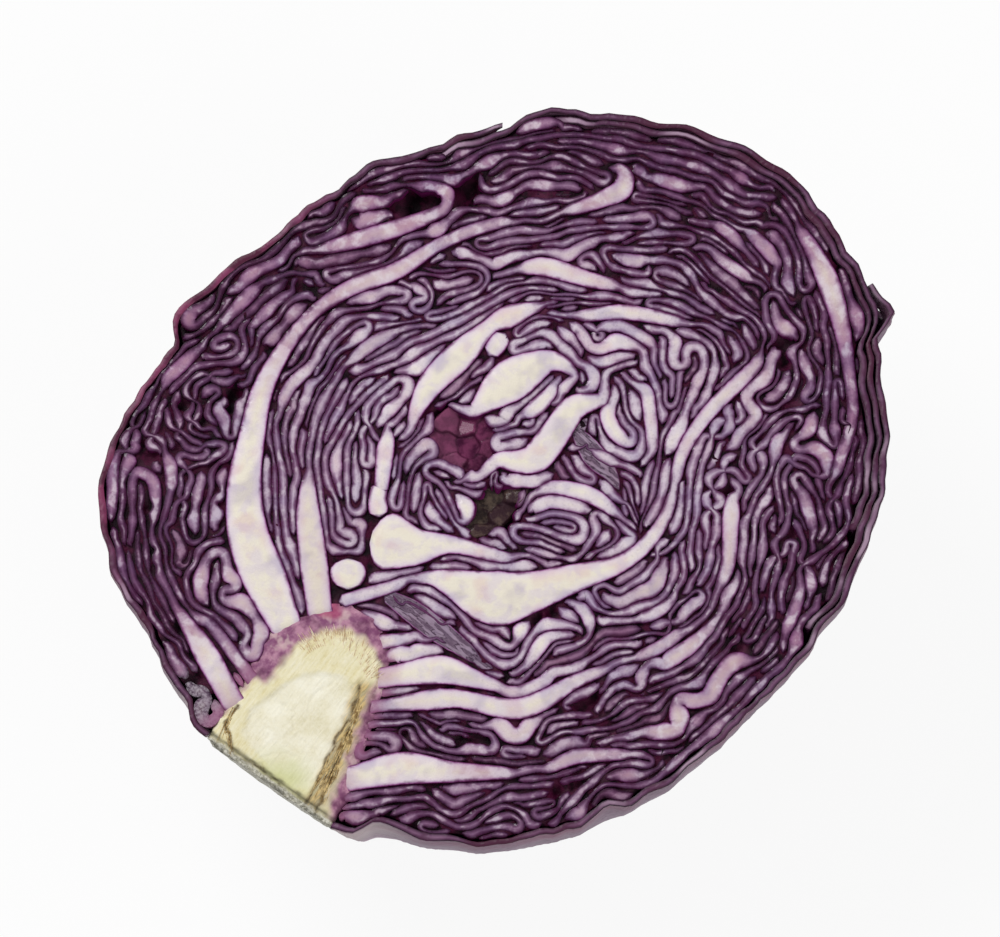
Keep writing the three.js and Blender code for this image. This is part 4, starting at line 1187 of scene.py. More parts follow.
def closer_at_bends(rows: np.ndarray, straight: float = 0.95, turn: float = math.radians(17)) -> np.ndarray:
    """Rows of a fine line thinned out so that straight runs have few points and bends have many."""
    step = np.diff(rows[:, :2], axis=0)
    angle = np.unwrap(np.arctan2(step[:, 1], step[:, 0]))
    bend = np.abs(np.gradient(angle)) if len(angle) > 1 else np.zeros(1)
    need = np.r_[0.0, np.cumsum(lengths(step) / straight + bend / turn)]
    count = max(4, int(math.ceil(need[-1])) + 1)
    at = np.linspace(0, need[-1], count)
    return np.column_stack([np.interp(at, need, column) for column in rows.T])


# ---------------------------------------------------------------- meshes
@dataclass
class MeshParts:
    """Vertices, faces and vertex values of closed bodies that become one mesh."""

    points: list = field(default_factory=list)
    faces: list = field(default_factory=list)
    values: dict = field(default_factory=lambda: defaultdict(list))
    sharp: list = field(default_factory=list)
    count: int = 0

    def add(self, points: np.ndarray, faces: np.ndarray | list, sharp: np.ndarray | None = None,
            **values: np.ndarray | float) -> None:
        """Add one body.

        Args:
            points: its vertices, in mm of the head's own frame.
            faces: its faces as rows of vertex numbers.
            sharp: True for vertices along a sharp edge.
            values: one number per vertex for each named attribute.
        """
        self.faces.extend((np.asarray(face) + self.count).tolist() for face in faces)
        self.points.append(points)
        self.sharp.append(np.zeros(len(points), bool) if sharp is None else sharp)
        for name, value in values.items():
            self.values[name].append(np.broadcast_to(value, len(points)).astype(np.float32))
        self.count += len(points)

    def piece(self, name: str, head: Head) -> bpy.types.Object:
        """Make the object, at the origin, with its place in its mesh."""
        mesh = bpy.data.meshes.new(name)
        points = head.metres(np.vstack(self.points))
        mesh.from_pydata(points.tolist(), [], self.faces)
        mesh.shade_smooth()
        for key, value in self.values.items():
            mesh.attributes.new(key, "FLOAT", "POINT").data.foreach_set("value", np.concatenate(value))
        sharp = np.concatenate(self.sharp)
        if sharp.any():
            ends = np.empty(len(mesh.edges) * 2, int)
            mesh.edges.foreach_get("vertices", ends)
            marked = sharp[ends.reshape(-1, 2)].all(1)
            mesh.attributes.new("sharp_edge", "BOOLEAN", "EDGE").data.foreach_set("value", marked)
        mesh.update()
        return placed(name, mesh)


def ring_faces(rows: int, ring: int) -> np.ndarray:
    """Faces between closed rings that follow each other."""
    row, column = np.meshgrid(np.arange(rows - 1), np.arange(ring), indexing="ij")
    after = (column + 1) % ring
    return np.stack([row * ring + column, row * ring + after, (row + 1) * ring + after,
                     (row + 1) * ring + column], axis=-1).reshape(-1, 4)


def placed(name: str, data: bpy.types.ID) -> bpy.types.Object:
    """New object in the scene."""
    piece = bpy.data.objects.new(name, data)
    bpy.context.scene.collection.objects.link(piece)
    return piece


def triangles(piece: bpy.types.Object) -> int:
    """Number of triangles of a mesh piece."""
    return sum(len(face.vertices) - 2 for face in piece.data.polygons)


def settle(piece: bpy.types.Object, node: str | None = None) -> None:
    """Fix a finished piece to the body.

    Args:
        piece: the piece.
        node: the solid that it replaces, if any.
    """
    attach(piece, BODY)
    if node is not None:
        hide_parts(node)
    log.info("%s: %d triangles", piece.name, triangles(piece))


@dataclass
class LeafStrips:
    """Makes each fold a thin closed leaf that runs down its own bowl from the cut face."""

    head: Head
    # Depth angles of a leaf's wall, in degrees.
    levels: tuple = (2.0, 8.0, 24.0, 52.0)
    lip: float = 0.1
    lip_drop: float = 0.05

    @property
    def ring_size(self) -> int:
        """Number of points round a fold: five along its cut edge, and two at each level."""
        return 5 + 2 * len(self.levels)

    def add(self, parts: MeshParts, rows: np.ndarray, drop: np.ndarray, tilt: float,
            **values: np.ndarray | float) -> None:
        """Add one fold to a mesh.

        Args:
            parts: the mesh that it joins.
            rows: x, y, left and right thickness along the fold, in mm.
            drop: how far its cut edge lies below the cut face at each row.
            tilt: how far one side of its cut edge is lower than the other.
            values: attributes that hold for the whole fold.
        """
        along = np.gradient(rows[:, :2], axis=0)
        along /= np.maximum(lengths(along), 1e-9)[:, None]
        normal = np.column_stack([-along[:, 1], along[:, 0]])
        left, right = rows[:, 2], rows[:, 3]
        half = (left + right) / 2
        lip = np.minimum(self.lip, 0.4 * half)
        across = np.stack([left, left - lip, (left - right) / 2, lip - right, -right], axis=1)
        flat = rows[:, None, :2] + across[..., None] * normal[:, None]
        fall = self.lip_drop * np.minimum(1, half / 0.5)
        lower = np.stack([fall + tilt, 0.2 * fall + 0.8 * tilt, 0 * fall,
                          0.2 * fall - 0.8 * tilt, fall - tilt], axis=1)
        height = self.head.cut_height - drop[:, None] - np.maximum(lower, -drop[:, None])
        top = np.concatenate([flat, height[..., None]], axis=2)
        edges = flat[:, [0, 4]]
        deep = []
        for level in self.levels:
            there = self.head.bowl(edges, math.radians(level))
            there[..., 2] -= drop[:, None] + fall[:, None]
            deep.append(there)
        deep = np.stack(deep, axis=1)
        ring = np.concatenate([top, deep[:, :, 1], deep[:, ::-1, 0]], axis=1)
        count, size = ring.shape[:2]
        edge = np.zeros((count, size))
        edge[:, 1] = edge[:, 3] = lip
        edge[:, 2] = half
        sharp = np.zeros((count, size), bool)
        sharp[:, [0, 4]] = True
        faces = list(ring_faces(count, size))
        faces.extend(self.cap(0, True))
        faces.extend(self.cap((count - 1) * size, False))
        parts.add(ring.reshape(-1, 3), faces, sharp.ravel(), edge=edge.ravel(),
                  bulk=np.repeat(half, size), **values)

    def cap(self, first: int, start: bool) -> list[list[int]]:
        """Faces that close one end of a fold."""
        size = self.ring_size
        count = len(self.levels)
        right = [5 + k for k in range(count)]
        left = [size - 1 - k for k in range(count)]
        faces = [[0, 1, 2, 3, 4, right[0], left[0]]]
        faces.extend([left[k], right[k], right[k + 1], left[k + 1]] for k in range(count - 1))
        if start:
            faces = [face[::-1] for face in faces]
        return [[first + vertex for vertex in face] for face in faces]


# ---------------------------------------------------------------- materials
def tint(red: float, green: float, blue: float) -> tuple[float, float, float, float]:
    """Colour for a shader from its everyday values of 0 to 255."""
    def linear(value: float) -> float:
        share = value / 255
        return share / 12.92 if share <= 0.04045 else ((share + 0.055) / 1.055) ** 2.4
    return linear(red), linear(green), linear(blue), 1.0


def add_node(tree: bpy.types.NodeTree, kind: str, settings: dict | None = None,
             inputs: dict | None = None) -> bpy.types.Node:
    """Add a node to any node tree.

    Args:
        tree: where it goes.
        kind: its type.
        settings: its properties.
        inputs: values, or Signals and sockets to link, by socket name or number.

    Returns:
        The node.
    """
    node = tree.nodes.new(kind)
    for key, value in (settings or {}).items():
        setattr(node, key, value)
    for key, value in (inputs or {}).items():
        feed(tree, node.inputs[key], value)
    return node


def feed(tree: bpy.types.NodeTree, socket: bpy.types.NodeSocket, value: object) -> None:
    """Give a socket a value or a link."""
    source = value.socket if isinstance(value, Signal) else value
    if isinstance(source, bpy.types.NodeSocket):
        tree.links.new(source, socket)
    else:
        socket.default_value = source


def arithmetic(operation: str, reflected: bool = False) -> Callable:
    """Operator of a Signal that adds one step of arithmetic.

    Args:
        operation: what the step does.
        reflected: True where the other value stands first.

    Returns:
        The method.
    """
    def method(self: "Signal", other: "Signal | float") -> "Signal":
        """Combine the signal with another value."""
        return self.book.math(operation, *((other, self) if reflected else (self, other)))
    return method


class Signal:
    """A shader socket that Python's own operators combine."""

    __add__ = arithmetic("ADD")
    __radd__ = arithmetic("ADD", reflected=True)
    __sub__ = arithmetic("SUBTRACT")
    __rsub__ = arithmetic("SUBTRACT", reflected=True)
    __mul__ = arithmetic("MULTIPLY")
    __rmul__ = arithmetic("MULTIPLY", reflected=True)
    __truediv__ = arithmetic("DIVIDE")

    def __init__(self, book: "Book", socket: bpy.types.NodeSocket) -> None:
        """Wrap a socket of a material."""
        self.book = book
        self.socket = socket

    def spread(self, breadth: float) -> "Signal":
        """1 where the value is nought, falling to 0 at a breadth on both sides."""
        return (self * self * (-1.0 / breadth ** 2) + 1.0).within(0.0, 1.0)

    def within(self, low: float, high: float) -> "Signal":
        """Smooth rise from 0 at low to 1 at high."""
        settings = {"data_type": "FLOAT", "interpolation_type": "SMOOTHSTEP"}
        node = self.book.node("ShaderNodeMapRange", settings,
                              {"Value": self, "From Min": low, "From Max": high})
        return Signal(self.book, node.outputs["Result"])


class Book:
    """Nodes of one material."""

    def __init__(self, name: str) -> None:
        """Start a material with its surface shader."""
        self.material = bpy.data.materials.new(name)
        self.material.use_nodes = True
        self.tree = self.material.node_tree
        self.surface = self.tree.nodes["Principled BSDF"]

    def node(self, kind: str, settings: dict | None = None, inputs: dict | None = None) -> bpy.types.Node:
        """Add a node to the material, see add_node."""
        return add_node(self.tree, kind, settings, inputs)

    def math(self, operation: str, first: object, second: object) -> Signal:
        """One step of arithmetic."""
        node = self.node("ShaderNodeMath", {"operation": operation}, {0: first, 1: second})
        return Signal(self, node.outputs[0])

    def value(self, name: str) -> Signal:
        """A vertex attribute."""
        node = self.node("ShaderNodeAttribute", {"attribute_name": name})
        return Signal(self, node.outputs["Fac"])

    def place(self) -> Signal:
        """Object coordinates in mm."""
        where = self.node("ShaderNodeTexCoord").outputs["Object"]
        node = self.node("ShaderNodeVectorMath", {"operation": "MULTIPLY"}, {0: where, 1: (1000, 1000, 1000)})
        return Signal(self, node.outputs[0])

    def along_core(self, length: float = 7.0, breadth: float = 1.0) -> Signal:
        """Coordinates in mm, drawn out along or across the core so that a grain runs that way."""
        turn = (0.0, 0.0, math.radians(STEM_AXIS - 180))
        node = self.node("ShaderNodeMapping", {"vector_type": "TEXTURE"},
                         {"Vector": self.place(), "Rotation": turn, "Scale": (length, breadth, 1.0)})
        return Signal(self, node.outputs[0])

    def height(self) -> Signal:
        """Height above the surface that the half rests on, in mm; the cut face is at 69."""
        where = self.node("ShaderNodeTexCoord").outputs["Object"]
        split = self.node("ShaderNodeSeparateXYZ", None, {0: where})
        return Signal(self, split.outputs["Z"]) * 1000

    def noise(self, place: Signal, size: float, detail: float = 3.0, rough: float = 0.55) -> Signal:
        """Cloudy values of about 0.3 to 0.7, with a feature size in mm."""
        node = self.node("ShaderNodeTexNoise", {"noise_dimensions": "3D"},
                         {"Vector": place, "Scale": 1 / size, "Detail": detail, "Roughness": rough})
        return Signal(self, node.outputs["Fac"])

    def bent(self, place: Signal, size: float, reach: float) -> Signal:
        """Coordinates pushed aside by clouds of a size, by up to about a reach, both in mm."""
        cloud = self.node("ShaderNodeTexNoise", {"noise_dimensions": "3D"},
                          {"Vector": place, "Scale": 1 / size})
        push = self.node("ShaderNodeVectorMath", {"operation": "MULTIPLY_ADD"},
                         {0: cloud.outputs["Color"], 1: (2 * reach,) * 3, 2: place})
        return Signal(self, push.outputs[0])

    def cells(self, place: Signal, size: float) -> Signal:
        """Distance to the borders of cells of a size in mm."""
        node = self.node("ShaderNodeTexVoronoi", {"feature": "DISTANCE_TO_EDGE"},
                         {"Vector": place, "Scale": 1 / size})
        return Signal(self, node.outputs["Distance"])

    def ramp(self, signal: Signal, span: float, stops: tuple) -> bpy.types.NodeSocket:
        """Colour that follows a signal from 0 to span through stops of signal value and colour."""
        settled = [(place / span, tint(*colour)) for place, colour in stops]
        node = self.node("ShaderNodeValToRGB", None, {"Fac": signal / span})
        elements = node.color_ramp.elements
        for place, colour in settled[1:-1]:
            elements.new(place).color = colour
        for number in (0, -1):
            elements[number].position, elements[number].color = settled[number]
        return node.outputs["Color"]

    def mix(self, share: Signal | float, first: object, second: object,
            way: str = "MIX") -> bpy.types.NodeSocket:
        """Two colours mixed."""
        node = self.node("ShaderNodeMix", {"data_type": "RGBA", "blend_type": way, "clamp_factor": True},
                         {0: share, 6: first, 7: second})
        return node.outputs[2]

    def finish(self, colour: object, rough: Signal | float, bump: Signal, lift: float,
               coat: Signal | float = 0.0, coat_rough: float = 0.25,
               gloss: float = 0.3) -> bpy.types.Material:
        """Join colour, roughness and bump to the surface shader.

        Args:
            colour: base colour.
            rough: roughness.
            bump: height signal.
            lift: height of the bump in mm.
            coat, coat_rough: moist film over the surface.
            gloss: strength of the flesh's own shine.
        """
        relief = self.node("ShaderNodeBump", None, {"Height": bump, "Distance": lift * MM, "Strength": 1.0})
        looks = {"Base Color": colour, "Roughness": rough, "Coat Weight": coat, "Coat Roughness": coat_rough,
                 "Specular IOR Level": gloss, "Normal": relief.outputs[0]}
        for name, value in looks.items():
            feed(self.tree, self.surface.inputs[name], value)
        return self.material


# Colours by distance from the skin, in mm: of a thin blade and of a thick rib.
BLADE_STOPS = ((0.0, (38, 3, 32)), (0.08, (56, 15, 50)), (0.18, (80, 41, 78)), (0.32, (103, 68, 101)),
               (0.5, (126, 94, 125)), (0.8, (155, 127, 155)), (1.2, (192, 172, 193)))
RIB_STOPS = ((0.0, (70, 8, 58)), (0.09, (116, 40, 106)), (0.22, (166, 120, 164)), (0.42, (206, 178, 203)),
             (0.75, (224, 209, 219)), (1.2, (231, 219, 219)), (2.4, (234, 226, 210)))
# Colours by a mixed noise value: of the stem's cream flesh and of its paler pith.
CREAM_STOPS = ((0.3, (204, 188, 134)), (0.45, (222, 210, 162)), (0.55, (232, 223, 184)),
               (0.7, (240, 233, 205)))
PITH_STOPS = ((0.3, (222, 214, 180)), (0.46, (238, 232, 208)), (0.62, (246, 242, 224)))


@dataclass(frozen=True)
class CutLeaf:
    """Moist cut leaf: dark purple skin, lilac flesh, and cream in the thick ribs, with painted highlights
    along the blades and painted shade on the low folds and on the walls deep in the gaps.
    """

    name: str = "cut_leaf"
    roughness: float = 0.4
    # Colour that the leaf walls darken to deep in the gaps: painted shade.
    skin_depth: tuple[int, int, int] = (52, 10, 42)

    def material(self) -> bpy.types.Material:
        """Build the material."""
        book = Book(self.name)
        place = book.place()
        cloud = book.noise(place, 7.0, 2.0)
        grain = book.noise(place, 0.5, 4.0, 0.65)
        blotch = book.noise(place, 2.2, 3.0)
        outer = book.value("outer")
        edge = book.value("edge") * (blotch * 1.1 + 0.7 - outer * 0.3) + (grain - 0.5) * 0.22
        bulk = book.value("bulk") + (blotch - 0.5) * 0.6
        tone = book.value("tone")
        blade = book.ramp(edge + tone.within(0.0, 1.0) * 0.12, 1.1, BLADE_STOPS)
        rib = book.ramp(edge, 2.4, RIB_STOPS)
        flesh = book.mix((bulk + tone * 0.12).within(0.85, 1.65), blade, rib)
        # Painted highlights: pale lilac streaks along the middle of the blades stand in for moist glints.
        painted_highlight_cloud = book.noise(book.bent(place, 6.0, 2.0), 3.4, 3.0)
        light = edge.within(0.25, 0.6) * painted_highlight_cloud.within(0.46, 0.64)
        flesh = book.mix(light * 0.6, flesh, tint(218, 206, 216))
        dull = book.noise(book.bent(place, 5.0, 2.0), 4.0, 2.0)
        flesh = book.mix(edge.within(0.9, 0.2) * dull.within(0.5, 0.62) * 0.6, flesh, tint(88, 30, 76))
        flesh = book.mix(grain.within(0.5, 0.7) * 0.3 * bulk.within(2.0, 1.0), flesh, tint(112, 92, 120))
        streak = book.noise(book.bent(book.along_core(1.0, 5.0), 2.5, 0.5), 0.75, 3.0)
        sheet = book.mix(streak.within(0.3, 0.7), tint(92, 70, 91), tint(156, 136, 156))
        sheet = book.mix((streak - 0.49).spread(0.035) * 0.8, sheet, tint(48, 20, 46))
        flesh = book.mix(tone.within(-1.45, -1.65) * edge.within(0.1, 0.4), flesh, sheet)
        # Painted crevice shade: folds of low tone, mostly the slivers that end lower in the crevices, are
        # darkened.
        painted_low_fold_shade = tone.within(-0.1, -1.2) * tone.within(-1.7, -1.4)
        flesh = book.mix(painted_low_fold_shade, flesh, tint(166, 108, 148), "MULTIPLY")
        # Blades darker towards the outer rim of the cut face, less so under the painted highlights.
        outer_darkening = outer * bulk.within(2.6, 1.5) * (1.0 - light * 0.7)
        flesh = book.mix(outer_darkening, flesh, tint(190, 154, 182), "MULTIPLY")
        flesh = book.mix(cloud.within(0.52, 0.68) * 0.4, flesh, tint(186, 178, 214), "MULTIPLY")
        flesh = book.mix(cloud.within(0.47, 0.32) * 0.35, flesh, tint(232, 196, 214), "MULTIPLY")
        stain = book.value("stain") * (grain * 0.7 + 0.55) * (1.0 - bulk.within(0.8, 1.8) * 0.65)
        flesh = book.mix(stain, flesh, tint(158, 98, 132))
        height = book.height()
        # Leaf walls in the gaps: their own purple skin near the top, darkened with depth as painted shade.
        wall = book.mix(height.within(67.8, 64.0), tint(104, 26, 84), tint(*self.skin_depth))
        flesh = book.mix(book.value("edge").within(0.05, 0.0) * height.within(68.8, 68.2), flesh, wall)
        dry = book.mix(grain.within(0.35, 0.65), tint(54, 42, 56), tint(160, 152, 160))
        flesh = book.mix(book.value("torn") * 0.8, flesh, dry)
        rough = self.roughness + (grain - 0.5) * 0.3
        moist = book.noise(place, 1.3, 2.0).within(0.56, 0.66) * 0.5
        return book.finish(flesh, rough, grain + blotch * 0.6, 0.12, coat=moist, coat_rough=0.18, gloss=0.12)


@dataclass(frozen=True)
class CoreFlesh:
    """Cut stem: cream, fibrous and cracked, stained where the leaves grow out, with a grey butt."""

    name: str = "core_flesh"

    def material(self) -> bpy.types.Material:
        """Build the material."""
        book = Book(self.name)
        place = book.place()
        fibre = book.noise(book.along_core(), 0.5, 4.0, 0.6)
        cloud = book.noise(place, 5.0, 3.0)
        grain = book.noise(place, 0.5, 4.0, 0.65)
        cream = book.ramp(fibre * 0.5 + grain * 0.2 + cloud * 0.4, 1.0, CREAM_STOPS)
        pale = book.ramp(cloud * 0.7 + grain * 0.3, 1.0, PITH_STOPS)
        colour = book.mix(book.value("pith") * 0.9, cream, pale)
        greenish = book.value("green") * (cloud.within(0.3, 0.6) * 0.5 + 0.3)
        colour = book.mix(greenish, colour, tint(204, 206, 142))
        # The brown band by the pith: its own ochre, with darker streaks along the fibres as painted shade
        # between the strands.
        brown = book.mix(fibre.within(0.42, 0.6), tint(112, 86, 46), tint(206, 176, 112))
        colour = book.mix(book.value("brown") * (fibre.within(0.3, 0.6) * 0.5 + 0.4), colour, brown)
        patch = book.noise(place, 1.9, 3.0)
        blush = book.mix(patch.within(0.36, 0.66), tint(130, 70, 110), tint(184, 132, 156))
        blush = book.mix(cloud.within(0.5, 0.66) * 0.8, blush, tint(92, 30, 72))
        blush = book.mix(cloud.within(0.44, 0.36) * 0.6, blush, tint(214, 186, 184))
        colour = book.mix(book.value("stain"), colour, blush)
        colour = book.mix(book.value("pink"), colour, tint(164, 62, 104))
        cracked = book.value("crack") * (grain.within(0.3, 0.6) * 0.5 + 0.45)
        colour = book.mix(cracked, colour, tint(96, 74, 42))
        butt = book.mix(grain.within(0.36, 0.64), tint(150, 146, 128), tint(214, 211, 198))
        colour = book.mix(book.value("butt"), colour, butt)
        colour = book.mix(book.value("rind") * 0.85, colour, tint(70, 66, 42))
        rough = 0.5 + (grain - 0.5) * 0.3
        return book.finish(colour, rough, fibre * 1.2 + grain * 0.6, 0.16, coat=0.06, coat_rough=0.3)


@dataclass(frozen=True)
class LeafFace:
    """Leaf seen face on: glossy maroon, or olive brown in the curled heart leaf; near black as painted shade
    where it lies deep in the crevices, and darker along its creases as painted shade.
    """

    name: str = "leaf_face"

    def material(self) -> bpy.types.Material:
        """Build the material."""
        book = Book(self.name)
        place = book.place()
        cloud = book.noise(place, 3.0, 3.0)
        grain = book.noise(place, 0.5, 4.0, 0.65)
        maroon = book.mix(cloud.within(0.36, 0.64), tint(62, 16, 46), tint(112, 44, 82))
        olive = book.mix((cloud * 0.7 + grain * 0.3).within(0.42, 0.62), tint(38, 28, 29), tint(82, 68, 58))
        # The crevice leaves are real leaf faces deep in the gaps; their near black colour is painted shade.
        shade = book.mix(cloud.within(0.42, 0.64), tint(16, 1, 10), tint(64, 6, 40))
        deep = book.value("deep")
        colour = book.mix(book.value("olive"), maroon, olive)
        colour = book.mix(deep, colour, shade)
        colour = book.mix(book.value("pale") * 0.7, colour, tint(144, 84, 114))
        # Painted shade along the creases between the facets.
        colour = book.mix(book.value("crease") * 0.6, colour, tint(34, 6, 24))
        coat = (1.0 - deep) * cloud.within(0.45, 0.6) * 0.3
        rough = 0.4 + (grain - 0.5) * 0.3
        return book.finish(colour, rough, grain + cloud, 0.2, coat=coat, coat_rough=0.15, gloss=0.08)


@dataclass(frozen=True)
class Fibre:
    """Dry plant fibre."""

    name: str
    dark: tuple[int, int, int]
    light: tuple[int, int, int]

    def material(self) -> bpy.types.Material:
        """Build the material."""
        book = Book(self.name)
        cloud = book.noise(book.place(), 0.9, 3.0)
        grain = book.noise(book.along_core(), 0.2, 3.0)
        colour = book.mix(cloud.within(0.38, 0.62), tint(*self.dark), tint(*self.light))
        return book.finish(colour, 0.6 + (grain - 0.5) * 0.3, grain, 0.05)


@dataclass(frozen=True)
class WaxySkin:
    """Outer leaf: purple skin under a dull grey bloom, with pale veins, and its cut edge."""

    name: str = "waxy_skin"

    def material(self) -> bpy.types.Material:
        """Build the material."""
        book = Book(self.name)
        place = book.place()
        cloud = book.noise(place, 16.0, 4.0, 0.6)
        speck = book.noise(place, 1.1, 5.0, 0.7)
        net = book.cells(place, 3.2).within(0.0, 0.16)
        vein = book.value("vein")
        skin = book.mix(cloud.within(0.36, 0.66), tint(84, 44, 76), tint(118, 86, 112))
        bloom = (speck.within(0.4, 0.66) * 0.5 + 0.3) * (cloud.within(0.3, 0.7) * 0.5 + 0.5)
        skin = book.mix(bloom, skin, tint(158, 142, 158))
        skin = book.mix((1.0 - net) * 0.35, skin, tint(148, 116, 142))
        skin = book.mix(vein * 0.85, skin, tint(186, 158, 180))
        height = book.height()
        fresh = height.within(60.0, 67.5) * cloud.within(0.35, 0.6)
        skin = book.mix(fresh * 0.7, skin, tint(116, 48, 84))
        maroon = book.value("maroon")
        skin = book.mix(maroon * height.within(58.0, 67.0) * 0.6, skin, tint(112, 36, 76))
        patch = book.noise(place, 5.0, 3.0)
        edge = book.value("edge")
        cut = book.ramp(edge * (patch * 1.6 + 0.3) + (speck - 0.5) * 0.2, 1.1, BLADE_STOPS)
        cut = book.mix(0.9, cut, tint(184, 142, 170), "MULTIPLY")
        cut = book.mix(patch.within(0.5, 0.4) * 0.55, cut, tint(72, 22, 58))
        shade = book.value("shade")
        cut = book.mix(shade.within(0.45, 0.1) * 0.75, cut, tint(70, 16, 46))
        cut = book.mix(shade.within(0.6, 0.9) * edge.within(0.1, 0.4) * 0.7, cut, tint(184, 156, 178))
        blush = book.mix(patch.within(0.42, 0.62), tint(78, 12, 48), tint(134, 52, 92))
        cut = book.mix(maroon * 0.8, cut, blush)
        is_cut = book.value("cut")
        colour = book.mix(is_cut.within(0.25, 0.6), skin, cut)
        base = book.value("base") * height.within(68.4, 67.4) * (cloud * 0.8 + speck * 0.5)
        colour = book.mix(base, colour, tint(204, 190, 190))
        rough = 0.56 - is_cut * 0.12 + (speck - 0.5) * 0.2
        relief = vein * 0.4 + speck * 0.4 + (1.0 - net) * 0.3 + cloud
        return book.finish(colour, rough, relief, 0.18, coat=0.04, coat_rough=0.4)


# ---------------------------------------------------------------- the pieces
def distance_to_line(points: np.ndarray, line: np.ndarray) -> np.ndarray:
    """Distance in the plane from points to a line of points."""
    best = np.full(len(points), 1e9)
    for start, end in zip(line[:-1], line[1:]):
        run = end - start
        share = np.clip(((points - start) @ run) / max(run @ run, 1e-9), 0, 1)
        best = np.minimum(best, lengths(points - start - share[:, None] * run))
    return best


def outside_of(points: np.ndarray, ring: np.ndarray) -> np.ndarray:
    """Distance to a closed outline, negative inside it."""
    closed = np.vstack([ring, ring[:1]])
    away = distance_to_line(points, closed)
    inside = np.zeros(len(points), bool)
    for (x1, y1), (x2, y2) in zip(closed[:-1], closed[1:]):
        crosses = (y1 > points[:, 1]) != (y2 > points[:, 1])
        rise = y2 - y1 if y2 != y1 else 1e-9
        inside ^= crosses & (points[:, 0] < (x2 - x1) * (points[:, 1] - y1) / rise + x1)
    return np.where(inside, -away, away)


